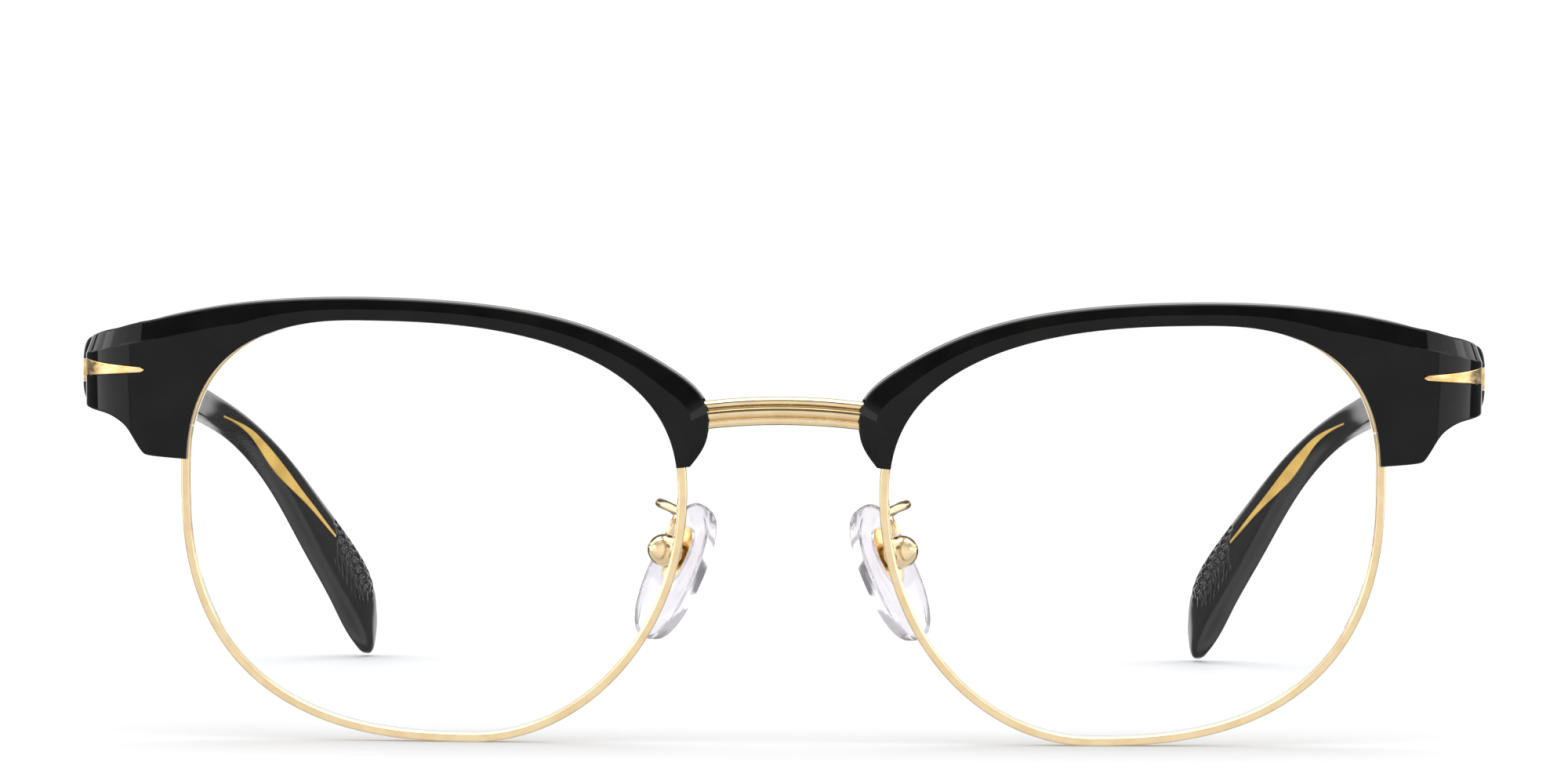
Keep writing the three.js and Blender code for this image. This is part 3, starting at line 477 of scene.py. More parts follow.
# ------------------------------------------------------------------ frames and pieces
hinge_low, hinge_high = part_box("left_hinge_screw")
SHIFT = Vector(((hinge_low.x + hinge_high.x) / 2 / MM - HINGE.x,
                (hinge_low.y + hinge_high.y) / 2 / MM - HINGE.y,
                hinge_high.z / MM - HINGE_HEAD_TOP))
STANDING = Matrix.Scale(MM, 4) @ Matrix.Translation(SHIFT)
LEANED = Matrix.Rotation(LEAN, 4, "X")
LEANING = STANDING @ LEANED
UNLEANED = LEANED.inverted()


def piece(name, mesh, where, node, material):
    """One visible piece that stands for a CAD node and rides on its body."""
    mesh.name = name
    mesh.transform(where)
    mesh.materials.clear()
    mesh.materials.append(material)
    mesh.polygons.foreach_set("material_index", [0] * len(mesh.polygons))
    mesh.shade_smooth()
    mesh.set_sharp_from_angle(angle=SHARP_ANGLE)
    o = bpy.data.objects.new(name, mesh)
    bpy.context.scene.collection.objects.link(o)
    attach(o, frame["nodes"][node]["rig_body"])
    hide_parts(node)


def pair(name, mesh, where, node, material):
    """The piece on the wearer's left and its mirror image on the right."""
    other = mirrored(mesh)
    piece(f"left_{name}", mesh, where, f"left_{node}", material)
    piece(f"right_{name}", other, where, f"right_{node}", material)


# ------------------------------------------------------------------ lens and rim
def outline(angle, offset=0.0):
    """u, w and the outward direction of the lens outline at angles, moved outwards by offset."""
    angle = np.asarray(angle, float)
    cos, sin = np.cos(angle), np.sin(angle)
    temple, up = cos >= 0, sin >= 0
    power = np.where(up, np.where(temple, POWER_TOP_TEMPLE, POWER_TOP_NOSE),
                     np.where(temple, POWER_BOTTOM_TEMPLE, POWER_BOTTOM_NOSE))
    u0 = np.where(up, TOP_APEX_U, BOTTOM_APEX_U)
    w0 = np.where(temple, TEMPLE_APEX_W, NOSE_APEX_W)
    a = np.where(temple, OUTLINE["temple"], OUTLINE["nose"]) - u0
    b = np.where(up, OUTLINE["top"], OUTLINE["bottom"]) - w0
    cu, cw = np.abs(cos) ** (2 / power), np.abs(sin) ** (2 / power)
    normal = unit(np.stack([cu ** (power - 1) / a, cw ** (power - 1) / b], -1))
    return u0 + a * cu + normal[..., 0] * offset, w0 + b * cw + normal[..., 1] * offset, normal


def sag(u, w):
    """How far back the lens's middle surface lies at a place on it."""
    return (u * u + w * w) / (2 * LENS_RADIUS) + WRAP * u


def at_lens(u, y, w):
    """Points in the front's frame from u and w about the left lens's centre."""
    u, y, w = np.broadcast_arrays(u, y, w)
    return np.stack([LENS_X + u, y, LENS_Z + w], -1)


def rim_rings(angles, section):
    """A ring of the section (radial, depth) at each angle of the outline."""
    u, w, normal = outline(angles)
    section = np.asarray(section)
    r, y = section[None, :, 0], section[None, :, 1]
    return at_lens(u[:, None] + normal[:, :1] * r, sag(u, w)[:, None] + y,
                   w[:, None] + normal[:, 1:] * r)


def even_angles(start, end, count):
    """Outline angles between two that are evenly spaced along the outline."""
    fine = np.linspace(start, end, 4000)
    u, w, _ = outline(fine)
    gone = np.concatenate([[0], np.cumsum(np.hypot(np.diff(u), np.diff(w)))])
    return np.interp(np.linspace(0, gone[-1], count), gone, fine)


def eyewire():
    half = RIM_DEPTH / 2
    section = rounded([
        (0, -half + RIM_CHAMFER, 0.06), (RIM_CHAMFER, -half, 0.08), (RIM_HEIGHT, -half, 0.26),
        (RIM_HEIGHT, half, 0.34), (0, half, 0.14), (0, half - RIM_LIP, 0.05), (RIM_GROOVE, 0, 0.1),
        (0, -half + RIM_FRONT_LIP, 0.05),
    ])
    return loft(rim_rings(even_angles(SPLIT_ANGLE + SPLIT_HALF_GAP,
                                      SPLIT_ANGLE + 2 * math.pi - SPLIT_HALF_GAP, 420), section))


def lens():
    half = LENS_THICKNESS / 2
    angles = even_angles(SPLIT_ANGLE, SPLIT_ANGLE + 2 * math.pi, 257)[:-1]
    edge_u, edge_w, _ = outline(angles, -LENS_FIT)

    def face(scale, y):
        u, w = edge_u * scale, edge_w * scale
        return at_lens(u, sag(u, w) + y, w)

    def side(r, y):
        return rim_rings(angles, [(r, y)])[:, 0]

    scales = [0.04, 0.12, 0.22, 0.34, 0.46, 0.58, 0.7, 0.8, 0.88, 0.95, 0.99]
    rings = [
        *(face(k, -half) for k in scales),
        side(-LENS_FIT, -half), side(-LENS_FIT, -BEVEL_HALF_WIDTH), side(BEVEL - LENS_FIT, 0),
        side(-LENS_FIT, BEVEL_HALF_WIDTH), side(-LENS_FIT, half),
        *(face(k, half) for k in reversed(scales)),
    ]
    return loft(rings, (at_lens(0, -half, 0), at_lens(0, half, 0)))


# ------------------------------------------------------------------ brow
def on_plate(u, w, depth, rim_w=END_RIM_W):
    """Place on the bent plate: u along it, w up, depth from its front."""
    u, w, depth, rim_w = np.broadcast_arrays(*(np.asarray(v, float) for v in (u, w, depth, rim_w)))
    # a shallow curve along the lens, then an arc, then straight on
    flat = np.minimum(u, BEND_START)
    start = math.atan(BEND_START / LENS_RADIUS + WRAP)
    bent = np.minimum(start + np.maximum(u - BEND_START, 0) / BEND_RADIUS, BEND_END_ANGLE)
    straight = np.maximum(u - BEND_START - (BEND_END_ANGLE - start) * BEND_RADIUS, 0)
    x = flat + BEND_RADIUS * (np.sin(bent) - math.sin(start)) + straight * np.cos(bent)
    y = (sag(flat, rim_w) - RIM_DEPTH / 2 - BROW_LIP
         + BEND_RADIUS * (math.cos(start) - np.cos(bent)) + straight * np.sin(bent))
    across = np.where(u > BEND_START, bent, np.arctan(flat / LENS_RADIUS + WRAP))
    across = across * smoothstep(u, *BEND_BLEND)
    return at_lens(x - np.sin(across) * depth, y + np.cos(across) * depth, w)


def brow_thickness(u):
    return lerp(BROW_THICKNESS, BROW_END_THICKNESS, smoothstep(u, *BROW_THINS))


def brow_section(width, thickness):
    """Section from the foot up and from the front back, with a facet along the front's top."""
    facet = min(FACET_WIDTH, FACET_SHARE * width)
    return rounded([
        (0, 0, 0.28), (width - facet, 0, 0.5), (width, facet * FACET_SLOPE + TOP_DROP, 0.3),
        (width, thickness, 0.42), (0, thickness, 0.3),
    ], steps=5)


def brow_plate():
    """The brow's solid: its foot follows the rim, then leaves it for the free end."""
    last = len(RIM_RIBS) - 1
    tops = Spline([r[1:] for r in RIM_RIBS] + [r[2:] for r in END_RIBS])
    angles = Spline([(r[0] * DEG,) for r in RIM_RIBS], tops.t[:last + 1])

    def foot_on_rim(angle):
        u, w, _ = outline(angle, LENS_EDGE_SETBACK * smoothstep(np.cos(angle), *SETBACK_COSINES))
        return np.stack([u, w], -1)

    leaving = foot_on_rim(np.array([RIM_RIBS[-1][0] * DEG]))
    feet = Spline(np.vstack([leaving, [r[:2] for r in END_RIBS]]), tops.t[last:])
    leave = tops.t[last]
    places = np.concatenate([np.linspace(0, leave, 240), np.linspace(leave, tops.t[-1], 110)[1:]])
    rings = []
    for s in places:
        top = tops.at(s)
        foot = foot_on_rim(angles.at(s)[0]) if s <= leave else feet.at(s)
        width = float(np.hypot(*(top - foot)))
        section = brow_section(width, brow_thickness(foot[0]))
        share = section[:, 0] / width
        rings.append(on_plate(lerp(foot[0], top[0], share), lerp(foot[1], top[1], share), section[:, 1],
                              foot[1] if s <= leave else END_RIM_W))
    return loft(rings)


def rim_groove(play):
    """The upper rim's solid with play around it, to cut grooves with."""
    half, top = RIM_DEPTH / 2 + play, RIM_HEIGHT + play
    section = [(GROOVE_INSIDE, -half), (top, -half), (top, half), (GROOVE_INSIDE, half)]
    return loft(rim_rings(even_angles(*GROOVE_REACH, 240), section))


def at_split(mesh):
    """Moves a mesh from the frame at the rim split: x outwards, y back, z up the rim."""
    u, w, normal = outline(SPLIT_ANGLE, RIM_HEIGHT)
    turn = Matrix.Rotation(-math.atan2(normal[1], normal[0]), 4, "Y")
    return moved(mesh, Matrix.Translation(Vector(at_lens(u, sag(u, w), w))) @ turn)


def behind_butt():
    """All that lies behind the upright face where brow and temple meet."""
    return moved(box((50, 90), (HINGE.y - BUTT_GAP, 60), (0, 80)), UNLEANED)


def brow_screw_at(which, mesh):
    """Moves a mesh along Z to a brow screw's place, z = 0 on the brow's back and +z into it."""
    u, w, rim_w = BROW_SCREWS[which]
    back = Vector(on_plate(u, w, BROW_THICKNESS, rim_w))
    into = Vector(on_plate(u, w, 0, rim_w)) - back
    turn = Vector((0, 0, 1)).rotation_difference(into.normalized()).to_matrix().to_4x4()
    return moved(mesh, Matrix.Translation(back) @ turn)


def brow_inlay(grow=0.0):
    """The brow's wedge from its point backwards. With grow it is the cutter of its pocket."""
    start, end = BROW_INLAY_START - grow, BROW_POCKET_END if grow else BROW_INLAY_END
    front, edge = (-CUTTER_OVER, 0.01) if grow else (0.02, 0.07)
    floor = INLAY_DEPTH + grow
    rings = []
    for t in np.linspace(0, 1, 64):
        u = lerp(start, end, t * t * 0.4 + t * 0.6)
        tip = max(min((u - start) / 0.4, 1) ** 0.5, 0.35)
        share = (u - start) / (BROW_INLAY_WIDE - start)
        half, middle = lerp(*INLAY_HALF, share) * tip + grow, lerp(*BROW_INLAY_W, share)
        section = rounded([(-half, front, edge), (half, front, edge),
                           (half, floor, 0.01), (-half, floor, 0.01)], steps=2, support=0.03)
        rings.append(on_plate(u, middle + section[:, 0], section[:, 1]))
    return loft(rings)


def brow():
    driver_channel = at_split(rod(DRIVER_HOLE, -9, -3, x=CLOSING_X, y=CLOSING_Y))
    bridge_slot = box((0, BRIDGE_SLOT_X), BRIDGE_SLOT_Y, [LENS_Z + w for w in BRIDGE_SLOT_W])
    screw_holes = [brow_screw_at(which, rod(BROW_SCREW_HOLE, -1, 2.4)) for which in (OUTER, INNER)]
    return cut(brow_plate(), rim_groove(GROOVE_PLAY), behind_butt(), at_split(box(*BLOCK_POCKET)),
               driver_channel, bridge_slot, brow_inlay(INLAY_FIT), *screw_holes)


# ------------------------------------------------------------------ metal front
def screw(shaft, head, height, length, slot=0.28):
    """Slotted screw along Z: domed head above z = 0, shaft down to -length."""
    dome = [(head * math.cos(a), height * (0.3 + 0.7 * math.sin(a)))
            for a in np.linspace(0.15, 1.35, 8)]
    body = lathe([(0, -length), (shaft * 0.8, -length), (shaft, -length + 0.2), (shaft, 0),
                  (head * 0.96, 0), (head, height * 0.15), *dome, (0, height)])
    return cut(body, box((-slot / 2, slot / 2), (-2 * head, 2 * head), (height * 0.45, 3)))


def bridge():
    # back, then the three stepped ridges of the front from the top down
    section = rounded([
        (0.9, -1.42, 0.25), (0.9, 1.42, 0.25), (-0.1, 1.42, 0.2), (-0.5, 1.2, 0.3), (-0.55, 0.8, 0.2),
        (-0.3, 0.5, 0.06), (-0.78, 0.36, 0.1), (-0.92, 0.0, 0.6), (-0.74, -0.38, 0.1), (-0.45, -0.5, 0.05),
        (-0.82, -0.62, 0.1), (-0.88, -0.95, 0.6), (-0.68, -1.3, 0.15), (-0.3, -1.42, 0.1),
    ])
    rings = []
    for t in np.linspace(-1, 1, 97):
        w, y = lerp(*BRIDGE_W, t * t), lerp(*BRIDGE_Y, t * t)
        rings.append(np.stack([np.full(len(section), t * BRIDGE_REACH), y + section[:, 0],
                               LENS_Z + w + section[:, 1]], 1))
    return cut(loft(rings), rim_groove(SOLDER_GAP), mirrored(rim_groove(SOLDER_GAP)))


def closing_block(side):
    """One of the blocks that clamp the split rim, above the split or below it."""
    z = sorted(side * edge for edge in BLOCK_Z)
    hole = rod(CLOSING_HOLE, -3, 3, x=CLOSING_X, y=CLOSING_Y)
    return cut(at_split(box(BLOCK_X, BLOCK_Y, z, 0.12)), at_split(hole))


def head_first(x, y, z):
    """Place of a screw whose head is turned to -Z."""
    return Matrix.Translation((x, y, z)) @ Matrix.Rotation(math.pi, 4, "X")


def closing_screw():
    made = screw(shaft=0.52, head=0.9, height=0.5, length=4.2)
    return at_split(moved(made, head_first(CLOSING_X, CLOSING_Y, CLOSING_HEAD_Z)))


def brow_screw(which, length, lift):
    made = screw(shaft=0.5, head=1.0, height=0.5, length=length)
    return brow_screw_at(which, moved(made, head_first(0, 0, lift)))


def knuckles(numbers, side, reach):
    """Hinge knuckles and their arms. Side is -1 on the front's leaf and +1 on the temple's."""
    made = []
    for i in numbers:
        low = HINGE.z + (i - KNUCKLES / 2) * KNUCKLE_PITCH + (KNUCKLE_PITCH - KNUCKLE_HEIGHT) / 2
        high = low + KNUCKLE_HEIGHT
        y = sorted(HINGE.y + edge * side for edge in KNUCKLE_ARM_Y)
        made += [rod(KNUCKLE_RADIUS, low, high, 0.1, HINGE.x, HINGE.y),
                 box((HINGE.x + 0.1, HINGE.x + reach), y, (low, high), 0.06)]
    return made


def hinge_hole():
    return rod(SCREW_HOLE_RADIUS, HINGE.z - 6, HINGE.z + 6, x=HINGE.x, y=HINGE.y)


def end_piece():
    """Bar along the brow's back, from a foot at the closing block to the hinge's front knuckles."""
    rings = []
    for t in np.linspace(0, 1, 70):
        u, w = lerp(*BAR_U, t), lerp(*BAR_W, smoothstep(t, 0, 0.7))
        half = lerp(*BAR_HALF, smoothstep(t, 0.1, 0.9))
        front = brow_thickness(u) + BAR_GAP
        back = front + BAR_THICKNESS
        section = rounded([(-half, front, 0.1), (half, front, 0.1),
                           (half, back, 0.25), (-half, back, 0.25)])
        rings.append(on_plate(u, w + section[:, 0], section[:, 1]))
    foot = at_split(box(*FOOT, 0.12))
    leaf = [moved(m, UNLEANED) for m in knuckles((0, 2, 4), -1, FRONT_ARM)]
    return cut(joined(loft(rings), foot, *leaf), moved(hinge_hole(), UNLEANED),
               brow_screw_at(OUTER, rod(BROW_SCREW_HOLE, -2, 1)))


# ------------------------------------------------------------------ temple
TEMPLE_LINE = Spline(TEMPLE_STATIONS[:, :3])
TEMPLE_SIZE = Spline(TEMPLE_STATIONS[:, 3:], TEMPLE_LINE.t)


def in_temple(stations):
    """Centre, outward and upward directions, height, thickness and distance at stations."""
    s = np.interp(stations, range(len(TEMPLE_STATIONS)), TEMPLE_LINE.t)
    along = unit(TEMPLE_LINE.slope(s))
    outwards = unit(np.stack([along[..., 1], -along[..., 0], np.zeros_like(s)], -1))
    size = TEMPLE_SIZE.at(s)
    return TEMPLE_LINE.at(s), outwards, np.cross(outwards, along), size[..., 0], size[..., 1], s


def section_angles(count):
    """Angles that space the points of the temple's section evenly."""
    fine = np.linspace(0, 2 * math.pi, 8000)
    x, y = (powered(f(fine), 2 / SECTION_POWER) for f in (np.cos, np.sin))
    gone = np.concatenate([[0], np.cumsum(np.hypot(np.diff(x) * 1.7, np.diff(y) * 3.2))])
    return np.interp(np.linspace(0, gone[-1], count + 1)[:-1], gone, fine)


def wave_relief(along, rise, inner):
    """Depth of the carved waves on the inner face near the tip."""
    start = WAVE_START + WAVE_LATE * (1 - smoothstep(rise, 0.4, 0.6))
    begun = smoothstep(along, start, start + WAVE_RISE_IN)
    ended = smoothstep(along, WAVE_FADE[0] + 4 * rise, WAVE_FADE[1] + 3 * rise)
    below_edge = 1 - smoothstep(rise, 0.86, 0.98)
    envelope = begun * (1 - ended) * smoothstep(inner, 0.5, 0.9) * smoothstep(rise, -0.9, 0.5) * below_edge
    wander = 0.75 * np.cos(rise * 3.1 - 0.6) + 0.12 * np.sin(rise * 17 + along * 0.9)
    phase = along / WAVE_PITCH + wander
    return WAVE_DEPTH * envelope * (0.5 + 0.5 * np.sin(2 * math.pi * phase)) ** 1.4


def temple_blank():
    """The temple's solid from the butt face at the hinge to the closed tip."""
    angles = section_angles(110)
    out, rise = (powered(f(angles), 2 / SECTION_POWER) for f in (np.cos, np.sin))
    # rings are closest at the carved waves, and crowd together at the tip
    stations = np.concatenate([np.linspace(0, 6.9, 150)[:-1], np.linspace(6.9, 8.9, 210)[:-1],
                               np.linspace(8.9, 9.6, 24)[:-1], 10 - 0.4 * np.linspace(1, 0, 20) ** 1.8])
    centre, outwards, up, height, thickness, s = in_temple(stations)
    past = np.clip((stations - TIP_STATION) / TIP_LENGTH, 0, 1)
    close = np.sqrt(np.clip(1 - past ** 2.8, 0, 1))
    rings = []
    for i in range(len(stations) - 1):
        depth = wave_relief(s[i], rise, -out)
        # the tip closes on a point low in its section
        lift = (rise * close[i] - TIP_DROP * (1 - close[i])) * height[i] / 2
        rings.append(centre[i] + np.outer(out * thickness[i] / 2 * close[i] + depth, outwards[i])
                     + np.outer(lift, up[i]))
    face = rings[0].copy()
    face[:, 1] = HINGE.y + BUTT_GAP
    middle = face.mean(0)
    inset = middle + (face - middle) * BUTT_INSET
    edge = face.copy()
    edge[:, 1] += BUTT_EDGE
    tip = centre[-1] - up[-1] * TIP_DROP * height[-1] / 2
    return loft([inset, edge, *rings[2:]], (None, tip))


def core_wire(grow=0.0):
    """The strip in the temple's inner face. With grow it is the cutter of its channel."""
    strip = Spline(CORE_STRIP)
    path = strip.at(np.linspace(0, strip.t[-1], 130))
    centre, outwards, up, _, thickness, _ = in_temple(path[:, 0])
    above, edge = (CUTTER_OVER, 0.01) if grow else (-0.03, 0.08)
    rings = []
    for i, (_, middle, width) in enumerate(path):
        half = max(width, 0.08) + grow
        face, floor = thickness[i] / 2 + above, thickness[i] / 2 - CORE_DEPTH - grow
        section = rounded([(-face, middle - half, edge), (-face, middle + half, edge),
                           (-floor, middle + half, 0.01), (-floor, middle - half, 0.01)],
                          steps=2, support=0.03)
        end = -grow if i == 0 else grow if i == len(path) - 1 else 0
        rings.append(centre[i] + [0, end, 0] + np.outer(section[:, 0], outwards[i])
                     + np.outer(section[:, 1], up[i]))
    return loft(rings)


def temple_inlay(grow=0.0):
    """The temple's wedge from the butt face to its point. With grow it is its pocket's cutter."""
    reach = TEMPLE_INLAY_LENGTH / (TEMPLE_STATIONS[1][1] - TEMPLE_STATIONS[0][1])
    above, edge = (CUTTER_OVER, 0.01) if grow else (-0.04, 0.07)
    rings = []
    for t in np.linspace(0, 1, 48):
        past = 0.02 if t == 1 and grow else 0
        centre, outwards, up, _, thickness, _ = in_temple(np.array(t * reach + past))
        tip = min(((1 - t) / 0.03) ** 0.5, 1) * 0.65 + 0.35
        half = lerp(INLAY_HALF[1], INLAY_HALF[0], t) * tip + grow
        face, floor = thickness / 2 + above, thickness / 2 - INLAY_DEPTH - grow
        section = rounded([(floor, -half, 0.01), (floor, half, 0.01),
                           (face, half, edge), (face, -half, edge)], steps=2, support=0.03)
        ring = centre + np.outer(section[:, 0], outwards) + np.outer(section[:, 1], up)
        if t == 0:
            ring[:, 1] = HINGE.y + BUTT_GAP - (CUTTER_OVER if grow else 0)
        rings.append(ring)
    return loft(rings)


def across_leaf(mesh, back):
    """Turns a mesh along Z to lie across the leaf, at a distance behind the hinge's axis."""
    place = Matrix.Translation((0, HINGE.y + back, HINGE.z + RIVETS_UP))
    return moved(mesh, place @ Matrix.Rotation(90 * DEG, 4, "Y"))


def rivet_holes():
    return [across_leaf(rod(RIVET_HOLE, 67.5, 71), back) for back in RIVETS_BACK]


def rivet(back):
    under_head, head, height, shaft, end = 68.12, 1.0, 0.37, 0.6, 70.8
    dome = [(head * math.sin(a), under_head - height * math.cos(a)) for a in np.linspace(0.2, 1.45, 8)]
    body = lathe([(0, under_head - height), *dome, (head, under_head), (shaft, under_head + 0.01),
                  (shaft, end), (0, end)])
    return across_leaf(body, back)


def temple_leaf():
    plate = box(LEAF_X, [HINGE.y + y for y in LEAF_Y], [HINGE.z + z for z in LEAF_Z], 0.18)
    return cut(joined(plate, *knuckles((1, 3), 1, TEMPLE_ARM)), hinge_hole(), *rivet_holes())


def hinge_screw():
    height = 0.55
    made = screw(shaft=0.62, head=1.1, height=height, length=5.9, slot=0.32)
    return moved(made, Matrix.Translation((HINGE.x, HINGE.y, HINGE_HEAD_TOP - height)))


# ------------------------------------------------------------------ nose pad
nose_way = Vector((-math.cos(PAD_SPLAY) * math.cos(PAD_FRONTAL), math.sin(PAD_SPLAY),
                   -math.cos(PAD_SPLAY) * math.sin(PAD_FRONTAL)))
pad_up = Vector((-math.sin(PAD_FRONTAL), 0, math.cos(PAD_FRONTAL)))
pad_side = pad_up.cross(nose_way)
PAD_FRAME = (Matrix.Translation(Vector(at_lens(*PAD_ORIGIN)))
             @ Matrix((pad_side, pad_up, nose_way)).transposed().to_4x4())


def oval(a, b, z):
    """Ring with half axes a and b, a little squarer than an ellipse."""
    sides, power = 96, 2.25
    t = np.linspace(0, 2 * math.pi, sides, endpoint=False)
    return np.stack([a * powered(np.cos(t), 2 / power), b * powered(np.sin(t), 2 / power),
                     np.full(sides, z)], 1)


def nose_pad():
    """Domed silicone pad with a pocket in its back for the insert."""
    top = PAD_BACK + PAD_CROWN
    # share of the half width, then height over the back
    shape = Spline([(0.80, 0.0), (0.95, 0.22), (1.0, 0.8), (0.97, 1.4), (0.87, 1.9), (0.66, 2.18),
                    (0.3, PAD_DOME)])
    rings = []
    for scale, z in shape.at(np.linspace(0, shape.t[-1], 40)):
        width = PAD_WIDTH * min(scale, 1.0)
        rings.append(oval(width, PAD_LENGTH - PAD_WIDTH + width, PAD_BACK + max(z, 0)))
    # past the rim of the dome the ovals also close lengthwise
    for k in (0.8, 0.6, 0.35, 0.12):
        rings.append(oval(PAD_WIDTH * 0.3 * k, (PAD_LENGTH - PAD_WIDTH * 0.7) * k, top - 0.01 * k))
    body = moved(loft(rings, (None, (0, 0, top))), Matrix.Translation((0, -PAD_DROP, 0)))
    pocket = loft([oval(POCKET_WIDTH, POCKET_LENGTH, PAD_BACK + z) for z in POCKET_Z])
    return moved(cut(body, pocket), PAD_FRAME)


def at_pad_pin(x):
    """Place on the pad screw's axis, with Z turned along it."""
    return Matrix.Translation((x, 0, PAD_PIVOT_Z)) @ Matrix.Rotation(90 * DEG, 4, "Y")


def pad_pin_hole(radius):
    return moved(rod(radius, -3, 3), at_pad_pin(0))


def pad_insert():
    """Plate in the pad's pocket, with the lug that the pad screw goes through."""
    levels = [(0.94, 0.1), (1.0, 0.16), (1.0, 0.45), (0.95, 0.52), (0.86, 0.55)]
    plate = loft([oval(PLATE_WIDTH * k, PLATE_LENGTH * k, PAD_BACK + z) for k, z in levels])
    lug = box(LUG_X, LUG_Y, (PAD_PIVOT_Z - LUG_ROUND_PIVOT, PAD_BACK + LUG_IN_PLATE), 0.08)
    return moved(cut(joined(plate, lug), pad_pin_hole(LUG_HOLE)), PAD_FRAME)


def pad_box():
    """Domed cup, slotted for the insert's lug."""
    dome = [(BOX_RADIUS * math.sin(a), BOX_BACK + BOX_DOME - BOX_DOME * math.cos(a))
            for a in np.linspace(0.08, 1.5, 14)]
    lip = [(BOX_RADIUS - inwards, BOX_FRONT - down)
           for inwards, down in ((0, 0.3), (0, 0.25), (0.04, 0.1), (0.12, 0.02), (0.2, 0))]
    cup = lathe([(0, BOX_BACK), *dome, (BOX_RADIUS, BOX_BACK + 2.05), *lip, (0, BOX_FRONT)], 64)
    return moved(cut(cup, box(*BOX_SLOT), pad_pin_hole(BOX_HOLE)), PAD_FRAME)


def pad_screw():
    made = screw(shaft=0.4, head=0.75, height=0.4, length=3.3, slot=0.22)
    return moved(made, PAD_FRAME @ at_pad_pin(PAD_SCREW_X))


def pad_arm():
    path = Spline([Vector(at_lens(*p)) for p in ARM_PATH])
    s = np.linspace(0, path.t[-1], 72)
    centre, along = path.at(s), unit(path.slope(s))
    side = unit(np.cross(along, [0.3, 0.2, 1.0]))
    lift = np.cross(side, along)
    turn = np.linspace(0, 2 * math.pi, 20, endpoint=False)
    rings = [centre[i] + ARM_RADIUS * (np.outer(np.cos(turn), side[i]) + np.outer(np.sin(turn), lift[i]))
             for i in range(len(s))]
    return loft(rings)


# ------------------------------------------------------------------ the pieces
pair("eyewire_rolled", eyewire(), LEANING, "eyewire", GOLD)
pair("lens_clear", lens(), LEANING, "lens", LENS)
pair("brow_acetate", brow(), LEANING, "brow", ACETATE)
pair("brow_wedge", cut(brow_inlay(), behind_butt()), LEANING, "brow_inlay", INLAY)
pair("block_upper", closing_block(1), LEANING, "closing_block_upper", GOLD)
pair("block_lower", closing_block(-1), LEANING, "closing_block_lower", GOLD)
pair("block_screw", closing_screw(), LEANING, "closing_screw", SCREW)
pair("end_bar", end_piece(), LEANING, "end_piece", GOLD)
pair("brow_screw_back", brow_screw(OUTER, 3.2, -1.3), LEANING, "brow_screw_outer", SCREW)
pair("brow_screw_nose", brow_screw(INNER, 2.0, -0.08), LEANING, "brow_screw_inner", SCREW)
pair("pad_wire", pad_arm(), LEANING, "pad_arm", GOLD)
pair("pad_cup", pad_box(), LEANING, "pad_box", GOLD)
pair("pad_pin", pad_screw(), LEANING, "pad_screw", SCREW)
pair("pad_plate", pad_insert(), LEANING, "pad_insert", INLAY)
pair("pad_silicone", nose_pad(), LEANING, "nose_pad", SILICONE)
piece("bridge_ridged", bridge(), LEANING, "bridge", GOLD)

pockets = [core_wire(INLAY_FIT), temple_inlay(INLAY_FIT), *rivet_holes()]
pair("temple_acetate", cut(temple_blank(), *pockets), STANDING, "temple", ACETATE)
pair("temple_wire", core_wire(), STANDING, "temple_core", CORE)
pair("temple_wedge", temple_inlay(), STANDING, "temple_inlay", INLAY)
pair("hinge_leaf", temple_leaf(), STANDING, "temple_leaf", GOLD)
for number, back in enumerate(RIVETS_BACK, 1):
    pair(f"rivet_{number}", rivet(back), STANDING, f"leaf_rivet_{number}", SCREW)
pair("hinge_pin", hinge_screw(), STANDING, "hinge_screw", SCREW)


# ------------------------------------------------------------------ floor, light and camera
class Nodes:
    """Helpers that add nodes to a shader tree."""

    def __init__(self, tree):
        self.tree = tree

    def node(self, kind, **inputs):
        made = self.tree.nodes.new("ShaderNode" + kind)
        for key, value in inputs.items():
            self.feed(made.inputs[key.replace("_", " ")], value)
        return made

    def feed(self, socket, value):
        if isinstance(value, bpy.types.NodeSocket):
            self.tree.links.new(value, socket)
        else:
            socket.default_value = value

    def math(self, operation, a, b=0.0):
        """One arithmetic step on numbers or sockets."""
        made = self.tree.nodes.new("ShaderNodeMath")
        made.operation = operation
        self.feed(made.inputs[0], a)
        self.feed(made.inputs[1], b)
        return made.outputs[0]

    def product(self, *factors):
        made = factors[0]
        for factor in factors[1:]:
            made = self.math("MULTIPLY", made, factor)
        return made

    def steps(self, value, low, high, before, after):
        """A smooth change from one level to another as the value passes from low to high."""
        made = self.tree.nodes.new("ShaderNodeMapRange")
        made.interpolation_type = "SMOOTHSTEP"
        for k, v in enumerate((value, low, high, before, after)):
            self.feed(made.inputs[k], v)
        return made.outputs[0]

    def mirrored_ray(self):
        """1 on rays that come off a glossy surface, 0 on all others."""
        path = self.node("LightPath")
        straight = self.math("SUBTRACT", 1.0, path.outputs["Is Transmission Ray"])
        return self.product(path.outputs["Is Glossy Ray"], straight)


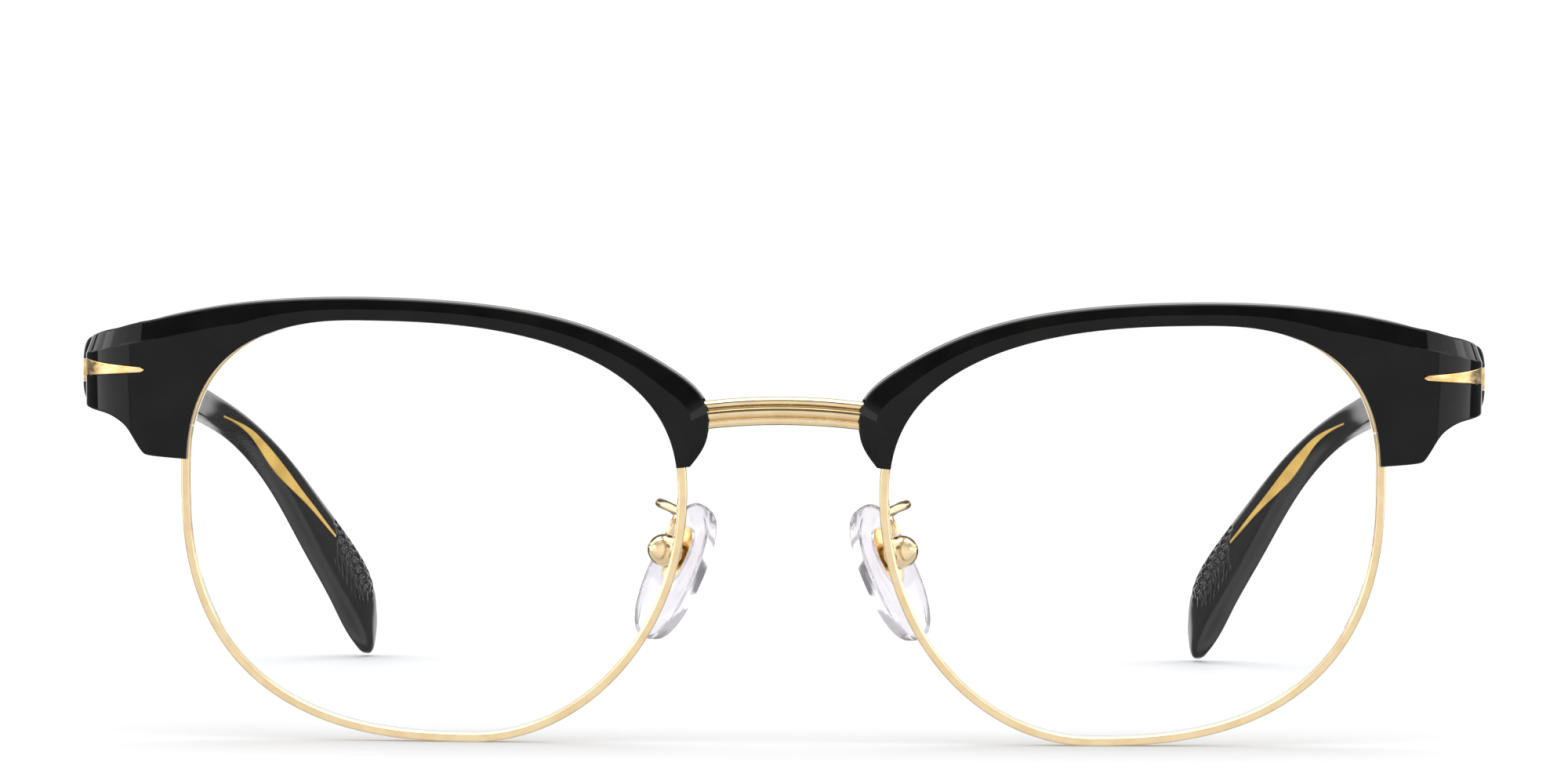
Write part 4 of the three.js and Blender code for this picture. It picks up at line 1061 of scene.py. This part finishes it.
def floor():
    """A pale sheet, finely divided near the glasses."""
    edges = np.array([-30, -8, -2, -0.6, -0.25, 0, 0.25, 0.6, 2, 8, 30])
    count = len(edges)
    points = [(x, y, 0) for y in edges for x in edges]
    faces = [(j * count + i, j * count + i + 1, (j + 1) * count + i + 1, (j + 1) * count + i)
             for j in range(count - 1) for i in range(count - 1)]
    mesh = bpy.data.meshes.new("floor")
    mesh.from_pydata(points, [], faces)
    s = Surface("floor_paper", Specular_IOR_Level=0.1)
    n = Nodes(s.tree)
    away = s.tree.nodes.new("ShaderNodeVectorMath")
    away.operation = "LENGTH"
    n.feed(away.inputs[0], s.space)
    reach = n.math("ADD", away.outputs["Value"], n.product(s.noise(9, 2), 0.02))
    # painted shade: the paper is a shade darker and a little bluer near the glasses, to even out the
    # stronger light of the lamps nearest there, so the contact shadows still show and read bluish
    s.drive("Base Color", s.ramp(n.steps(reach, 0.1, 0.5, 0.0, 1.0),
                                 [(0.0, (0.757, 0.76, 0.768)), (1.0, (0.95, 0.95, 0.95))]))
    s.drive("Roughness", s.ramp(s.noise(60, 2), [(0.3, 0.7), (0.7, 0.8)]))
    # reflections pass through the sheet to the world's own lower half
    mix = n.node("MixShader", Fac=n.mirrored_ray())
    n.feed(mix.inputs[1], s.shader.outputs[0])
    n.feed(mix.inputs[2], n.node("BsdfTransparent").outputs[0])
    n.feed(s.tree.nodes["Material Output"].inputs["Surface"], mix.outputs[0])
    mesh.materials.append(s.material)
    o = bpy.data.objects.new("floor", mesh)
    bpy.context.scene.collection.objects.link(o)


def softbox(name, place, target, size, power):
    light = bpy.data.lights.new(name, "AREA")
    light.shape, light.size, light.size_y, light.energy = "RECTANGLE", *size, power
    o = bpy.data.objects.new(name, light)
    o.location = place
    o.rotation_euler = (Vector(target) - Vector(place)).to_track_quat("-Z", "Y").to_euler()
    o.visible_camera = False
    bpy.context.scene.collection.objects.link(o)


def studio():
    """White to look at and to be lit by; for reflections, panels and dark gaps between them.

    A panel is bounded by the direction that is reflected: y points away from the camera, z up.
    """
    world = bpy.data.worlds.new("studio")
    bpy.context.scene.world = world
    world.use_nodes = True
    world.node_tree.nodes.clear()
    w = Nodes(world.node_tree)
    split = w.node("SeparateXYZ", Vector=w.node("TexCoord").outputs["Generated"])
    _, y, z = split.outputs
    # behind the camera, and behind the glasses with a dimmer middle; both stop above the horizon
    front = w.steps(y, -0.35, -0.6, 0.0, 1.0)
    high = w.product(w.steps(z, 0.08, 0.16, 0.0, 1.0), w.steps(y, 0.80, 0.86, 0.0, 1.0))
    backdrop = w.product(w.math("MAXIMUM", w.steps(y, 0.90, 0.95, 0.0, 1.0), high),
                         w.steps(y, 0.975, 0.995, 1.0, 0.5))
    ends = w.product(w.math("ADD", front, backdrop), w.steps(z, 0.2, 0.36, 0.9, 0.04))
    level = w.math("ADD", 0.08, ends)
    # at both sides, and the paper under them
    side = w.product(w.steps(y, -0.54, -0.50, 0.0, 1.0), w.steps(y, 0.40, 0.46, 1.0, 0.0),
                     w.steps(z, -0.25, -0.1, 0.0, 1.7))
    paper = w.product(w.steps(z, -0.24, -0.12, 0.8, 0.0), w.steps(y, 0.5, 0.8, 1.0, 0.0))
    level = w.math("MAXIMUM", w.math("MAXIMUM", level, side), paper)
    # overhead
    level = w.math("ADD", level, w.steps(z, 0.8, 0.9, 0.0, 0.7))
    white, bright = (1, 1, 1, 1), 1.16
    shaded = w.node("Background", Color=white, Strength=level)
    plain = w.node("Background", Color=white, Strength=bright)
    # edges of the clear pieces bend the view sideways, where it is darker
    bent = w.node("Background", Color=white,
                  Strength=w.steps(w.math("ABSOLUTE", y), 0.5, 0.95, 0.6, bright))
    through = w.node("MixShader", Fac=w.node("LightPath").outputs["Is Transmission Ray"])
    w.feed(through.inputs[1], plain.outputs[0])
    w.feed(through.inputs[2], bent.outputs[0])
    mix = w.node("MixShader", Fac=w.mirrored_ray())
    w.feed(mix.inputs[1], through.outputs[0])
    w.feed(mix.inputs[2], shaded.outputs[0])
    w.node("OutputWorld", Surface=mix.outputs[0])


floor()
studio()
softbox("key", (0, 0.0, 0.95), (0, 0, 0), (1.1, 1.1), 3)
for across in (-1, 1):
    for back in (-1, 1):
        softbox(f"side_{across + 1}{back + 1}", (0.62 * across, 0.3 * back - 0.03, 0.2), (0, 0, 0.03),
                (0.45, 0.26), 0.5)

CAMERA_PLACE = (0.0, -0.6991, 0.0467)
CAMERA_DOWN, CAMERA_ROLL = 0.976 * DEG, 0.38 * DEG
CAMERA_LENS, CAMERA_SENSOR = 140.9, 36
camera = bpy.data.objects.new("camera", bpy.data.cameras.new("camera"))
camera.data.lens, camera.data.sensor_width = CAMERA_LENS, CAMERA_SENSOR
camera.data.clip_start, camera.data.clip_end = 0.02, 100
camera.matrix_world = (Matrix.Translation(CAMERA_PLACE)
                       @ Matrix.Rotation(90 * DEG - CAMERA_DOWN, 4, "X")
                       @ Matrix.Rotation(CAMERA_ROLL, 4, "Z"))
bpy.context.scene.collection.objects.link(camera)
bpy.context.scene.camera = camera
bpy.context.scene.view_settings.view_transform = "Standard"
